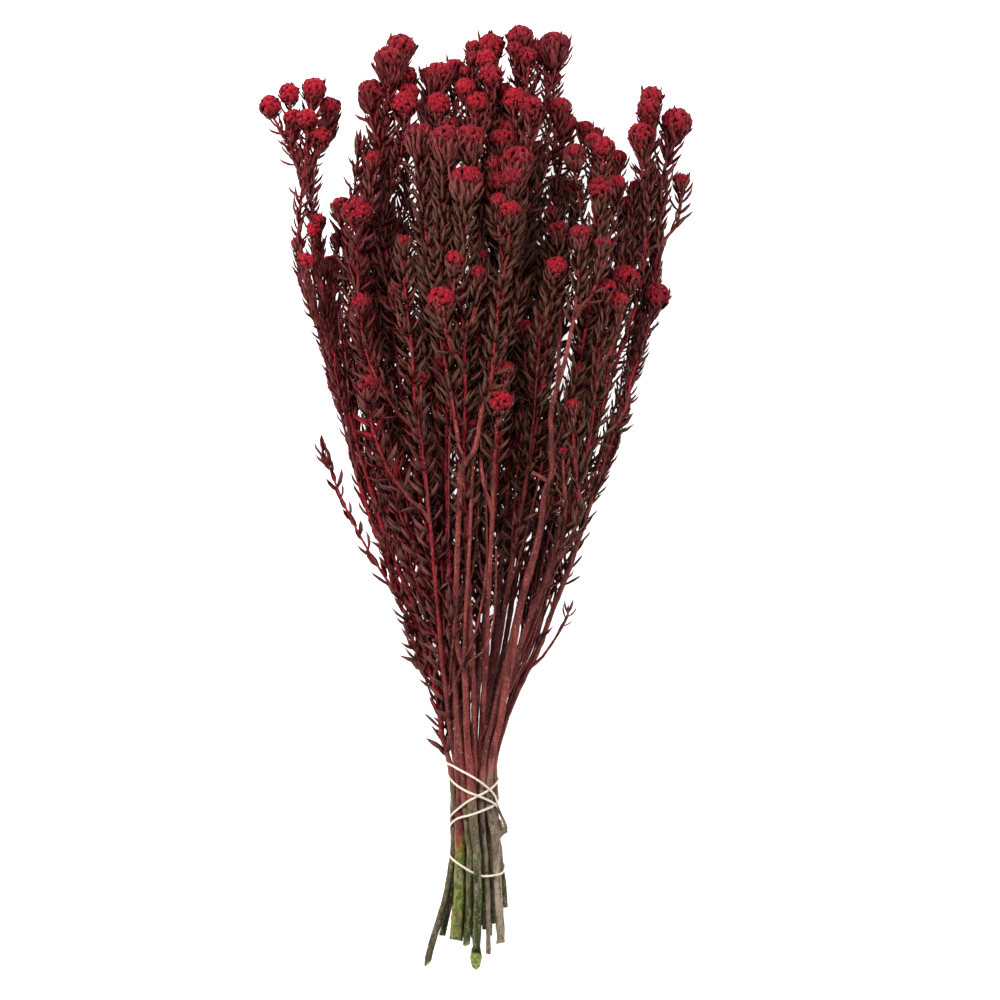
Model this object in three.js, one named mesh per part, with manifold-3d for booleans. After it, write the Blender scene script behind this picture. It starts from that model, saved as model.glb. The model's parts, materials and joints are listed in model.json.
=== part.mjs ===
// A bunch of dried phylica, lying down, in millimetres.
// The stems run along +Y, the cut ends at -Y, and the bunch lies on the plane z = 0.
// Each main stem is one grown piece: wood, side shoots, leaves and flower heads.
import * as THREE from 'three';
import { mergeVertices } from 'three/addons/utils/BufferGeometryUtils.js';
import Module from 'manifold-3d';

const wasm = await Module();
wasm.setup();

// Driving dimensions
const sliceStep = 8;          // the bunch is settled in slices across Y, this far apart
const tieY = -190;            // middle of the tie
const headNeck = 1.1;         // a head's neck lies this many radii below its centre
const headTop = 0.75;         // and its top this many radii above it
const coreRadius = 2.5;       // slim core of a leafy shoot
const twigRadius = 1.25;      // bare wood of a side shoot
const tipRadius = 1.5;        // a main stem's wood near its top
const fullHead = 8.4;         // a side head wider than this has more facets
const twigTip = 1.6;          // a twig's tip, where other shoots have a head
const leafLength = 14;
const leafWidth = 2.2;
const leafThickness = 1.1;
const leafSpread = 31;        // degrees between a leaf and its shoot
const leafSpacing = 47;       // along a shoot
const mainTolerance = 0.8;    // how far a bar's straight lengths may leave the smooth stem
const sideTolerance = 1.4;
const clearance = 1.1;        // between the stems' skeletons
const leafClearance = 0.3;    // between a leaf and the next stem's pieces
const floorPress = 0.25;      // share of its radius that what lies lowest is pressed flat
const tieRoom = 3.1;          // under the bundled stems, for the tie
const tieReach = 46;          // that room is kept this far along the stems from the tie's middle, tieY - 12
const bandRadius = 0.75;
const bandGap = 0.9;          // from the outermost stems
const bandLayer = 1.85;       // a strand that crosses over another lies this much further out
const bandSteps = 98;
const bandSides = 4;
const seed = 13;

// How a fork is placed: below its head, and clear of the ends of the shoot that it leaves
const forkDrop = 22;
const forkSlope = 1.9;        // a head that stands further aside has its fork this much further down
const forkRoom = 12;

// How the stems settle
const settleRounds = 90;
const ownSpacing = 0.8;       // heads of one stem may press into each other this far
const ownPush = 0.12;
const otherPush = 0.42;
const sidewaysShare = 0.7;    // stems move aside more easily in depth than across

// A stem stands at tie [x, z], its cut end is at end [x, y, z], and it has no leaves below bareTo.
// It passes the via points and ends in its first head. The other heads are on side shoots.
// A head is [x, y, z, radius, degrees that it turns up], and twigs end in leaves alone.
const stems = [
  { // left edge, with the loose cluster of nine heads
    tie: [-18, 22], end: [-34, -298, 13], radius: 2.2, bareTo: -165,
    via: [[-26, -149, 22], [-46, -79, 31], [-71, -3, 43], [-93, 74, 52], [-109, 138, 58], [-112, 182, 60]],
    heads: [[-105, 262, 59, 7.6, 35], [-121, 259, 62, 6.4, 60], [-132, 251, 60, 7, 60],
      [-95, 251, 49, 7, 20], [-96, 240, 46, 5.7, 20], [-120, 243, 70, 4.5, 40],
      [-121, 235, 62, 4.1, 30], [-109, 242, 75, 5.1, 50], [-100, 231, 69, 5.1, 40]],
  },
  { // left, with the leafy twig that stands out of the outline
    tie: [-16, 16], end: [-25, -280, 11], radius: 2, bareTo: -160,
    via: [[-22, -149, 20], [-38, -89, 29], [-65, -12, 42], [-86, 64, 54], [-100, 128, 60]],
    heads: [[-103, 178, 64, 5.1, 15], [-106, 172, 71, 4.5, 50], [-92, 167, 45, 4.5, 10],
      [-109, 152, 72, 5.1, 60], [-116, 164, 52, 4.5, 10], [-86, 171, 41, 3.8, 10]],
    twigs: [[-100, 36, 46, -70]],
  },
  {
    tie: [-15, 27], end: [-12, -282, 19], radius: 2.4, bareTo: -120,
    via: [[-19, -127, 32], [-30, -63, 42], [-54, 13, 52], [-71, 96, 64], [-81, 166, 65], [-75, 217, 64]],
    heads: [[-68, 260, 64, 8.3, 15], [-88, 188, 52, 6.4, 5], [-75, 183, 82, 8.9, 55], [-66, 216, 74, 5.7, 45]],
  },
  { // the tall tower of heads at the upper left
    tie: [-12, 19], end: [-16, -283, 13], radius: 2.3, bareTo: -90,
    via: [[-16, -120, 25], [-25, -57, 37], [-41, 20, 51], [-55, 109, 59], [-61, 185, 63], [-60, 236, 64]],
    heads: [[-49, 289, 56, 8.9, 30], [-57, 279, 73, 9.6, 15], [-47, 270, 60, 7, 15],
      [-45, 259, 64, 6.4, 30], [-47, 251, 78, 7.6, 55]],
  },
  {
    tie: [-10, 13], end: [-13, -281, 8], radius: 1.9, bareTo: -70,
    via: [[-14, -114, 21], [-18, -38, 35], [-27, 64, 55], [-33, 160, 63], [-29, 224, 65]],
    heads: [[-25, 271, 66, 8.9, 10], [-33, 272, 48, 5.1, 10], [-25, 251, 77, 7.6, 50]],
  },
  {
    tie: [-11, 30], end: [-9, -283, 18], radius: 2.2, bareTo: -60,
    via: [[-16, -127, 36], [-19, -63, 47], [-21, 13, 61], [-20, 83, 77], [-23, 160, 89]],
    heads: [[-20, 228, 96, 9.6, 5], [-18, 238, 73, 5.7, 20], [-5, 228, 89, 9.6, 10], [-16, 277, 48, 5.7, 10]],
  },
  { // top middle
    tie: [-7, 19], end: [-6, -280, 9], radius: 2.3, bareTo: -40,
    via: [[-8, -120, 26], [-9, -38, 40], [-7, 52, 53], [-2, 141, 62], [3, 224, 65]],
    heads: [[7, 289, 60, 8.3, 60], [-5, 289, 52, 5.1, 25], [3, 280, 72, 6.4, 45], [-6, 281, 68, 4.5, 30],
      [-8, 261, 81, 6.4, 40], [-3, 252, 88, 7, 50], [8, 269, 81, 7.6, 60], [-9, 272, 64, 4.5, 30]],
  },
  { // top right
    tie: [2, 16], end: [2, -276, 12], radius: 2.4, bareTo: -20,
    via: [[7, -114, 21], [14, -38, 32], [21, 52, 49], [26, 141, 57], [28, 224, 60]],
    heads: [[26, 295, 60, 8.3, 20], [22, 287, 68, 5.1, 30], [30, 282, 74, 5.7, 50], [38, 289, 60, 4.5, 20],
      [49, 290, 60, 9.6, 5], [43, 283, 52, 4.5, 15], [47, 270, 44, 5.1, 15]],
  },
  {
    tie: [-2, 23], end: [-3, -282, 15], radius: 2, bareTo: -30,
    via: [[0, -120, 29], [6, -44, 42], [13, 45, 56], [18, 128, 65], [19, 198, 70]],
    heads: [[21, 254, 75, 7.6, 60], [16, 261, 64, 5.1, 50], [32, 249, 83, 7, 45], [44, 250, 60, 7, 20],
      [18, 236, 71, 6.4, 20], [11, 228, 83, 7.6, 20]],
  },
  {
    tie: [5, 12], end: [5, -280, 8], radius: 2.1, bareTo: 0,
    via: [[12, -120, 17], [24, -44, 29], [37, 45, 45], [46, 128, 52], [49, 192, 56]],
    heads: [[56, 241, 52, 6.4, 30], [67, 237, 56, 5.7, 20], [74, 234, 48, 5.1, 20], [79, 224, 75, 7, 50],
      [61, 220, 73, 7, 20], [88, 218, 63, 5.7, 20], [72, 229, 66, 5.1, 20]],
  },
  { // the thick stem in front that forks twice
    tie: [-5, 31], end: [-2, -293, 20], radius: 2.9, bareTo: 60,
    via: [[-8, -140, 37], [-9, -109, 43], [-14, -89, 47], [-14, -38, 62], [-12, 7, 72], [-11, 20, 75],
      [-3, 32, 78], [2, 53, 80], [7, 71, 84], [10, 96, 89], [14, 141, 93]],
    heads: [[24, 215, 94, 9.6, 10], [10, 213, 88, 5.7, 40], [11, 201, 98, 6.4, 55], [20, 203, 100, 6.4, 25],
      [12, 189, 100, 5.1, 20], [19, 183, 100, 6.4, 35], [-36, 230, 90, 8.9, 5, 20],
      [-4, 48, 72, 3.8, 20, -109]],
  },
  { // right, with three heads one above the other
    tie: [8, 19], end: [7, -272, 11], radius: 2.2, bareTo: 10,
    via: [[12, -149, 22], [26, -95, 28], [49, -28, 41], [77, 58, 55], [96, 134, 62], [102, 192, 66]],
    heads: [[110, 257, 59, 7, 45], [108, 248, 68, 7.6, 45], [103, 232, 73, 8.3, 25]],
  },
  { // right edge
    tie: [10, 17], end: [16, -262, 9], radius: 2, bareTo: 15,
    via: [[14, -152, 18], [31, -95, 25], [58, -25, 37], [89, 52, 46], [109, 115, 54], [120, 173, 57]],
    heads: [[129, 241, 59, 9.6, 35], [129, 204, 54, 5.1, 20]],
    twigs: [[57, -66, 30, -115]],
  },
  {
    tie: [2, 28], end: [5, -291, 19], radius: 2.2, bareTo: 0,
    via: [[11, -140, 29], [21, -76, 38], [42, 1, 52], [62, 83, 67], [73, 147, 76]],
    heads: [[77, 197, 86, 7.6, 50], [85, 201, 71, 5.7, 25], [59, 198, 58, 5.1, 20], [93, 189, 63, 5.1, 10],
      [100, 183, 48, 4.5, 10]],
  },
  { // the thick bare stem in front on the right, with the stump that the tie hooks on
    tie: [6, 29], end: [12, -284, 20], radius: 2.9, bareTo: 110,
    via: [[8, -165, 29], [14, -143, 33], [20, -101, 41], [28, -57, 53], [35, -22, 62], [39, 10, 70],
      [45, 39, 75], [47, 61, 79], [52, 83, 83], [57, 106, 86], [61, 128, 88]],
    heads: [[64, 168, 89, 7, 10], [78, 163, 90, 4.5, 10, 115], [49, 171, 80, 6.4, 10, 61],
      [46, 183, 68, 4.5, 20, 70]],
    stumps: [[12, 33, 18, 73, 1.3], [-216, 16, -211, 24, 2.2]],
  },
  {
    tie: [12, 19], end: [9, -262, 10], radius: 2.1, bareTo: 10,
    via: [[12, -149, 26], [27, -95, 35], [49, -38, 48], [70, 32, 63], [79, 90, 76]],
    heads: [[80, 134, 85, 7, 10], [93, 142, 78, 7.6, 25], [90, 127, 80, 5.7, 20], [113, 131, 61, 7.6, 45],
      [59, 60, 76, 5.1, 10], [53, 31, 71, 3.8, 20], [62, 3, 61, 2.5, 20]],
  },
  { // front middle
    tie: [-2, 30], end: [-9, -285, 16], radius: 2.1, bareTo: -20,
    via: [[-3, -146, 35], [-6, -76, 48], [-9, 1, 68], [-10, 77, 85], [-11, 141, 93]],
    heads: [[-8, 202, 97, 9.8, 5], [-17, 127, 96, 8.3, 30], [-13, 152, 96, 5.7, 25], [-2, 143, 93, 5.7, 15],
      [2, 155, 85, 3.2, 20]],
  },
  {
    tie: [-14, 24], end: [-15, -273, 10], radius: 2.1, bareTo: -110,
    via: [[-18, -140, 31], [-25, -76, 45], [-33, 1, 64], [-42, 77, 78], [-47, 128, 85]],
    heads: [[-48, 163, 87, 5.1, 20], [-53, 134, 82, 3.8, 20], [-75, 126, 80, 5.7, 30], [-70, 74, 76, 6.4, 35],
      [-37, 78, 77, 4.5, 30]],
  },
  {
    tie: [1, 27], end: [0, -273, 17], radius: 2.6, bareTo: 20,
    via: [[3, -152, 29], [5, -89, 44], [7, -38, 60], [9, -12, 66], [11, 17, 73], [14, 39, 77]],
    heads: [[18, 63, 83, 7.6, 35], [18, 83, 82, 5.7, 40], [0, 39, 74, 3.2, 20]],
    stumps: [[-155, 4, -144, 32, 1.2]],
  },
  {
    tie: [2, 21], end: [-1, -278, 10], radius: 1.9, bareTo: 0,
    via: [[7, -127, 28], [17, -63, 41], [30, 13, 55], [42, 83, 69]],
    heads: [[51, 148, 85, 6.4, 40], [28, 110, 64, 5.7, 30], [37, 82, 55, 5.7, 30], [48, 124, 62, 5.1, 30]],
  },
  { // the last five lie underneath
    tie: [-12, 12], end: [-19, -270, 5], radius: 1.9, bareTo: -60,
    via: [[-19, -127, 16], [-35, -50, 20], [-52, 45, 26], [-62, 128, 26]],
    heads: [[-58, 224, 31, 7.6, -20], [-81, 210, 37, 6.4, -25], [-65, 171, 23, 7.6, -30],
      [-94, 152, 41, 5.7, -15], [-76, 109, 23, 7, -35]],
  },
  {
    tie: [-8, 9], end: [-14, -276, -2], radius: 1.9, bareTo: -40,
    via: [[-11, -127, 10], [-19, -44, 13], [-25, 45, 16], [-31, 128, 19]],
    heads: [[-32, 253, 27, 8.3, -15], [-39, 152, 5, 7.6, -35], [-14, 187, 11, 8.3, -30], [-25, 95, 11, 6.4, -35]],
  },
  {
    tie: [-4, 7], end: [-4, -270, -2], radius: 2, bareTo: -20,
    via: [[-2, -127, 8], [0, -38, 10], [5, 64, 12], [7, 141, 18]],
    heads: [[12, 258, 31, 8.3, -10], [-6, 240, 19, 8.3, -20], [17, 160, 5, 7.6, -35], [25, 77, 10, 6.4, -35]],
  },
  {
    tie: [1, 9], end: [4, -267, -2], radius: 2, bareTo: 0,
    via: [[8, -127, 10], [19, -38, 13], [34, 58, 16], [42, 134, 19]],
    heads: [[35, 224, 21, 8.3, -15], [53, 203, 5, 7.6, -25], [42, 137, 12, 7, -35], [68, 166, 20, 7.6, -30]],
  },
  {
    tie: [6, 15], end: [9, -264, 6], radius: 1.9, bareTo: 10,
    via: [[15, -127, 17], [35, -44, 22], [61, 52, 26], [77, 128, 31]],
    heads: [[79, 210, 33, 7.6, -15], [102, 199, 39, 7, -25], [93, 159, 28, 7.6, -30], [112, 166, 44, 6.4, -15],
      [72, 95, 22, 6.4, -35]],
  },
];

// The tie's route, one closed loop: [degrees round the bundle, y, layer].
// 0 degrees is the right side, 90 the top, 180 the left side and 270 the underside.
const bandRoute = [
  [16, -199, 1], [31, -191, 1], [52, -185, 1], [77, -179, 1], [103, -174, 0], [140, -170, 0],
  [175, -168, 0], [215, -169, 0], [270, -173, 0], [325, -177, 0], [365, -179, 0], [387, -181, 0],
  [412, -185, 0], [437, -188, 0], [465, -192, 0], [491, -197, 0], [520, -201, 0], [545, -206, 0],
  [585, -214, 0], [630, -222, 0], [680, -231, 0], [715, -236, 0], [750, -239, 0], [790, -241, 0],
  [830, -237, 0], [862, -231, 0], [885, -226, 0], [897, -217, 0], [885, -208, 0], [854, -203, 0],
  [820, -201, 0], [790, -198, 0], [756, -195, 0], [735, -193, 0], [700, -190, 0], [650, -187, 0],
  [600, -183, 0], [560, -178, 0], [540, -176, 0], [505, -181, 0], [465, -186, 0], [437, -189, 1],
  [405, -193, 1], [375, -198, 1],
];
const bandHook = [
  [16.2, -206, 27.6], [18.3, -211.5, 26.2], [18.8, -213.8, 24], [18.3, -211.5, 21.8], [16.4, -205, 20.6],
];

const degree = Math.PI / 180;
const goldenAngle = 137.508 * degree;

function seededRandom(state) {
  return () => {
    state = (state + 0x6d2b79f5) | 0;
    let t = Math.imul(state ^ (state >>> 15), 1 | state);
    t = (t + Math.imul(t ^ (t >>> 7), 61 | t)) ^ t;
    return ((t ^ (t >>> 14)) >>> 0) / 4294967296;
  };
}

// x and z on a smooth curve through knots [x, y, z], at height y
function alongKnots(knots, y) {
  let i = 1;
  while (i < knots.length - 1 && knots[i][1] < y) i += 1;
  const [a, b] = [knots[i - 1], knots[i]];
  const span = b[1] - a[1];
  const t = Math.min(Math.max((y - a[1]) / span, 0), 1);
  const slope = (j, axis) => {
    const before = knots[Math.max(j - 1, 0)];
    const after = knots[Math.min(j + 1, knots.length - 1)];
    return (after[axis] - before[axis]) / (after[1] - before[1]);
  };
  const value = (axis) => a[axis] * (1 + 2 * t) * (1 - t) ** 2 + b[axis] * t * t * (3 - 2 * t)
    + span * (slope(i - 1, axis) * t * (1 - t) ** 2 - slope(i, axis) * t * t * (1 - t));
  return [value(0), value(2)];
}

function fadeIn(value, from, to) {
  return Math.min(Math.max((value - from) / (to - from), 0), 1);
}

// Radius of the space that a shoot takes at y: wood, leafy core or head
function reach(shoot, y) {
  const up = (y - shoot.tipY) / shoot.headRadius;
  if (up > -headNeck) {
    return Math.max(shoot.headRadius * 1.05 * Math.sqrt(Math.max(1 - (up / 1.25) ** 2, 0.1)), coreRadius);
  }
  const wood = woodRadius(shoot, y);
  return wood + (coreRadius + 0.3 - wood) * fadeIn(y, shoot.bareTo, shoot.bareTo + 12);
}

function woodRadius(shoot, y) {
  if (shoot.parent) return twigRadius;
  return tipRadius + (shoot.radius - tipRadius) * (1 - fadeIn(y, tieY, shoot.tipY));
}

// One shoot as slices: where it would lie (x, z) and how far it has been moved aside (dx, dz)
function makeShoot(node, parent, rootY, place, data) {
  const shoot = { node, parent, rootY, ...data };
  const topY = shoot.tipY + headTop * shoot.headRadius;
  shoot.first = Math.ceil(rootY / sliceStep);
  shoot.slices = [];
  for (let k = shoot.first; k * sliceStep <= topY; k += 1) {
    const y = k * sliceStep;
    const [x, z] = place(y);
    shoot.slices.push({ x, z, dx: 0, dz: 0, radius: reach(shoot, y) });
  }
  return shoot;
}

// A shoot's settled centre at height y
function centreAt(shoot, y) {
  const s = Math.min(Math.max(y / sliceStep - shoot.first, 0), shoot.slices.length - 1);
  const i = Math.min(Math.floor(s), shoot.slices.length - 2);
  const [a, b] = [shoot.slices[i], shoot.slices[i + 1]];
  const t = s - i;
  return [(a.x + a.dx) * (1 - t) + (b.x + b.dx) * t, (a.z + a.dz) * (1 - t) + (b.z + b.dz) * t];
}

function makeShoots() {
  const shoots = [];
  stems.forEach((stem, node) => {
    const [leader, ...others] = stem.heads;
    const knots = [stem.end, [stem.tie[0], tieY, stem.tie[1]], ...stem.via, leader.slice(0, 3)];
    const main = makeShoot(node, null, stem.end[1], (y) => alongKnots(knots, y),
      { tipY: leader[1], headRadius: leader[3], turn: leader[4], bareTo: stem.bareTo, radius: stem.radius });
    const own = [main];
    const sides = [...others, ...(stem.twigs ?? []).map(([x, y, z, rootY]) => [x, y, z, twigTip, 0, rootY])];
    for (const [x, y, z, headRadius, turn, forkY] of sides) {
      const [parent, rootY] = forkFrom(own, x, y, z, headRadius, forkY);
      const [rootX, rootZ] = centreAt(parent, rootY);
      const ahead = (at) => centreAt(parent, Math.min(at, parent.tipY));
      const place = (at) => {
        const s = fadeIn(at, rootY, y - headRadius);
        const part = 1 - (1 - s) ** 2;
        const lean = s * (1 - s) ** 2;
        const [px, pz] = ahead(rootY + 10);
        const between = (root, tip, led) => root + (tip - root) * part + (led - root) * lean * 4;
        return [between(rootX, x, px), between(rootZ, z, pz)];
      };
      own.push(makeShoot(node, parent, rootY, place,
        { tipY: y, headRadius, turn, bareTo: Math.max(rootY + 8, stem.bareTo), radius: twigRadius }));
    }
    shoots.push(...own);
  });
  return shoots;
}

// The shoot of the same stem that a head grows from, and how high up it leaves that shoot
function forkFrom(own, x, y, z, headRadius, forkY) {
  let best = null;
  for (const parent of own) {
    const at = Math.min(y - forkDrop, parent.tipY - parent.headRadius - forkRoom / 2);
    if (at < parent.rootY + forkRoom) continue;
    const [px, pz] = centreAt(parent, at);
    const aside = Math.hypot(x - px, z - pz);
    const drop = forkDrop + headRadius + forkSlope * aside;
    const rootY = forkY ?? Math.min(y - drop, parent.tipY - parent.headRadius * headNeck - 8);
    if (rootY < parent.rootY + forkRoom) continue;
    if (!best || aside < best.aside) best = { aside, parent, rootY };
    if (forkY !== undefined) break;
  }
  return [best.parent, best.rootY];
}

// Shoots of different stems are moved apart, slice by slice, mostly in depth
function settle(shoots) {
  for (let round = 0; round < settleRounds; round += 1) {
    const slices = new Map();
    for (const shoot of shoots) {
      shoot.slices.forEach((slice, i) => {
        slice.px = 0;
        slice.pz = 0;
        const k = shoot.first + i;
        if (!slices.has(k)) slices.set(k, []);
        slices.get(k).push({ slice, shoot });
      });
    }
    for (const row of slices.values()) {
      for (let i = 0; i < row.length; i += 1) {
        for (let j = i + 1; j < row.length; j += 1) pushApart(row[i], row[j]);
      }
    }
    for (const shoot of shoots) moveShoot(shoot);
  }
}

function pushApart(a, b) {
  const dx = b.slice.x + b.slice.dx - a.slice.x - a.slice.dx;
  const dz = b.slice.z + b.slice.dz - a.slice.z - a.slice.dz;
  const distance = Math.hypot(dx, dz) + 1e-6;
  const together = a.shoot.node === b.shoot.node;
  const touching = a.slice.radius + b.slice.radius;
  const wanted = together ? ownSpacing * touching : touching + clearance;
  if (distance >= wanted) return;
  const share = (together ? ownPush : otherPush) * (wanted - distance) / distance;
  a.slice.px -= dx * share;
  b.slice.px += dx * share;
  a.slice.pz -= dz * share;
  b.slice.pz += dz * share;
}

function moveShoot(shoot) {
  const { slices, parent } = shoot;
  const before = slices.map((slice) => [slice.dx + sidewaysShare * slice.px, slice.dz + slice.pz]);
  slices.forEach((slice, i) => {
    const below = before[Math.max(i - 1, 0)];
    const above = before[Math.min(i + 1, slices.length - 1)];
    slice.dx = before[i][0] * 0.5 + (below[0] + above[0]) * 0.25;
    slice.dz = before[i][1] * 0.5 + (below[1] + above[1]) * 0.25;
    const y = (shoot.first + i) * sliceStep;
    const isTied = Math.abs(y - tieY + 12) < tieReach;
    const lowest = isTied ? slice.radius + tieRoom : slice.radius * (1 - floorPress);
    slice.dz = Math.max(slice.dz, lowest - slice.z);
  });
  if (parent) {
    const joined = parent.slices[Math.min(shoot.first - parent.first, parent.slices.length - 1)];
    slices[0].dx = joined.dx;
    slices[0].dz = joined.dz;
  }
}

function asSolid(geometry) {
  geometry.deleteAttribute('normal');
  geometry.deleteAttribute('uv');
  const merged = mergeVertices(geometry, 1e-5);
  return new wasm.Manifold(new wasm.Mesh({
    numProp: 3,
    vertProperties: new Float32Array(merged.attributes.position.array),
    triVerts: new Uint32Array(merged.index.array),
  }));
}

function asGeometry(solid) {
  const mesh = solid.getMesh();
  const geometry = new THREE.BufferGeometry();
  geometry.setAttribute('position', new THREE.BufferAttribute(mesh.vertProperties.slice(), 3));
  geometry.setIndex(new THREE.BufferAttribute(mesh.triVerts.slice(), 1));
  return geometry;
}

// Moves each vertex of a geometry by a function of its own place
function reshape(geometry, place) {
  const position = geometry.attributes.position;
  const point = new THREE.Vector3();
  for (let i = 0; i < position.count; i += 1) {
    point.fromBufferAttribute(position, i);
    const moved = place(point);
    position.setXYZ(i, moved.x, moved.y, moved.z);
  }
  return geometry;
}

// Right-handed frame: side, along, up, where along points along the shoot
function frameAlong(direction) {
  const along = direction.clone().normalize();
  const side = new THREE.Vector3().crossVectors(along, new THREE.Vector3(0, 0, 1)).normalize();
  const up = new THREE.Vector3().crossVectors(side, along);
  return { side, along, up };
}

function inFrame(origin, frame, side, along, up) {
  return origin.clone().addScaledVector(frame.side, side).addScaledVector(frame.along, along)
    .addScaledVector(frame.up, up);
}

// A round bar bent through points, each with its own radius
function bentBar(points, radii, sides) {
  const last = points.length - 1;
  const frames = points.map((point, i) => frameAlong(
    new THREE.Vector3().subVectors(points[Math.min(i + 1, last)], points[Math.max(i - 1, 0)])));
  const bar = new THREE.CylinderGeometry(1, 1, last, sides, last);
  return reshape(bar, (v) => {
    const i = Math.round(v.y + last / 2);
    const angle = Math.atan2(v.x, v.z);
    const r = Math.hypot(v.x, v.z) * radii[i];
    return inFrame(points[i], frames[i], r * Math.sin(angle), 0, r * Math.cos(angle));
  });
}

// A narrow leaf: flat inside, keeled outside, its root sunk in the shoot
function leafShape({ root, direction, outward, length }) {
  const side = new THREE.Vector3().crossVectors(direction, outward).normalize();
  const keel = new THREE.Vector3().crossVectors(side, direction).normalize();
  const frame = { side, along: direction, up: keel };
  return reshape(new THREE.ConeGeometry(1, 1, 3, 1), (v) => (
    inFrame(root, frame, v.x * leafWidth / 1.73, (v.y + 0.5) * length, v.z * leafThickness / 1.5)));
}

function ringOf(centre, frame, count, width) {
  return Array.from({ length: count }, (_, i) => {
    const angle = 2 * Math.PI * i / count;
    return inFrame(centre, frame, width * Math.cos(angle), 0, width * Math.sin(angle));
  });
}

// Rings of a flower head, [height, width, relief] in radii: a cup of bracts under a dome of florets
const headRings = [[-0.72, 0.66, 0.03], [0, 1, 0.1], [0.5, 0.64, 0.1]];

function headRingsOf({ centre, radius, frame }, count) {
  return headRings.map(([height, width, relief], row) => Array.from({ length: count }, (_, i) => {
    const angle = 2 * Math.PI * i / count;
    const floret = ((i + row) % 2 ? 1 : -1) * relief;
    const r = radius * (width + floret);
    return inFrame(centre, frame, r * Math.cos(angle), radius * (height + floret * 0.7), r * Math.sin(angle));
  }));
}

// Joins rings into one closed body. A ring may have twice the points of the one before it.
function loft(rings, top) {
  const points = [...rings.flat(), top];
  const faces = [];
  let start = 0;
  const fill = (...corners) => faces.push(...corners);
  for (let j = 2; j < rings[0].length; j += 1) fill(0, j - 1, j);
  rings.forEach((ring, row) => {
    const n = ring.length;
    const after = start + n;
    const next = rings[row + 1]?.length ?? 1;
    for (let i = 0; i < n; i += 1) {
      const [a, b] = [start + i, start + (i + 1) % n];
      if (next === 1) {
        fill(a, after, b);
      } else if (next === n) {
        fill(a, after + i, b, b, after + i, after + (i + 1) % n);
      } else {
        const [c, d, e] = [after + 2 * i, after + 2 * i + 1, after + (2 * i + 2) % next];
        fill(a, c, d, a, d, b, b, d, e);
      }
    }
    start = after;
  });
  const geometry = new THREE.BufferGeometry().setFromPoints(points);
  geometry.setIndex(faces);
  return geometry;
}

// A shoot from its root to the top of its head
function shootShape({ bar: { points, radii }, parent, head }) {
  const sideCount = head.radius > fullHead ? 4 : 3;
  const count = parent ? sideCount : 6;
  const last = points.length - 1;
  const rings = points.map((point, i) => {
    const heading = new THREE.Vector3().subVectors(points[Math.min(i + 1, last)], points[Math.max(i - 1, 0)]);
    return ringOf(point, frameAlong(heading), count, radii[i]);
  });
  const top = inFrame(head.centre, head.frame, 0, head.radius * headTop, 0);
  return loft([...rings, ...headRingsOf(head, parent ? count * 2 : count)], top);
}

function segmentDistance(a, b) {
  const d1 = new THREE.Vector3().subVectors(a.to, a.from);
  const d2 = new THREE.Vector3().subVectors(b.to, b.from);
  const r = new THREE.Vector3().subVectors(a.from, b.from);
  const [aa, bb, ab, ra, rb] = [d1.dot(d1), d2.dot(d2), d1.dot(d2), d1.dot(r), d2.dot(r)];
  const clamp = (value) => Math.min(Math.max(value, 0), 1);
  const crossed = aa * bb - ab * ab;
  let s = crossed > 1e-9 ? clamp((ab * rb - ra * bb) / crossed) : 0;
  const t = clamp((ab * s + rb) / (bb || 1));
  s = clamp((ab * t - ra) / (aa || 1));
  return r.addScaledVector(d1, s).addScaledVector(d2, -t).length();
}

// Drops the points of a path that lie within tolerance of the line between the ones kept
function thinOut(points, tolerance) {
  if (points.length < 3) return points;
  const chord = { from: points[0], to: points[points.length - 1] };
  let [far, at] = [0, 0];
  for (let i = 1; i < points.length - 1; i += 1) {
    const distance = segmentDistance(chord, { from: points[i], to: points[i] });
    if (distance > far) [far, at] = [distance, i];
  }
  if (far < tolerance) return [chord.from, chord.to];
  return [...thinOut(points.slice(0, at + 1), tolerance), ...thinOut(points.slice(at), tolerance).slice(1)];
}

function pointAt(shoot, y) {
  const [x, z] = centreAt(shoot, y);
  return new THREE.Vector3(x, y, z);
}

// The bar of a shoot: bare wood, then the slim core of its leafy part, up into the head
function shootBar(shoot) {
  const topY = shoot.tipY - (1.25 + 0.35 * Math.sin(Math.abs(shoot.turn) * degree)) * shoot.headRadius - 1;
  const leafy = Math.min(Math.max(shoot.bareTo, shoot.rootY), topY - 4);
  const full = leafy + 14;
  const lower = pathOf(shoot, shoot.rootY, leafy);
  const upper = pathOf(shoot, Math.min(full, topY - 1), topY);
  const isBare = leafy - shoot.rootY > 20;
  const points = isBare ? [...lower, ...upper] : [lower[0], ...upper];
  if (shoot.parent) points[0] = barAt(shoot.parent.bar, shoot.rootY).centre;
  const radii = points.map((p) => (p.y > leafy + 6 ? coreRadius : woodRadius(shoot, p.y)));
  return { points, radii };
}

// Centre and radius of a bar at height y
function barAt({ points, radii }, y) {
  let i = 1;
  while (i < points.length - 1 && points[i].y < y) i += 1;
  const t = (y - points[i - 1].y) / (points[i].y - points[i - 1].y);
  return { centre: points[i - 1].clone().lerp(points[i], t), radius: radii[i - 1] * (1 - t) + radii[i] * t };
}

function pathOf(shoot, from, to) {
  const count = Math.max(Math.ceil((to - from) / 4), 1);
  const path = Array.from({ length: count + 1 }, (_, i) => pointAt(shoot, from + (to - from) * i / count));
  return thinOut(path, shoot.parent ? sideTolerance : mainTolerance);
}

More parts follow.
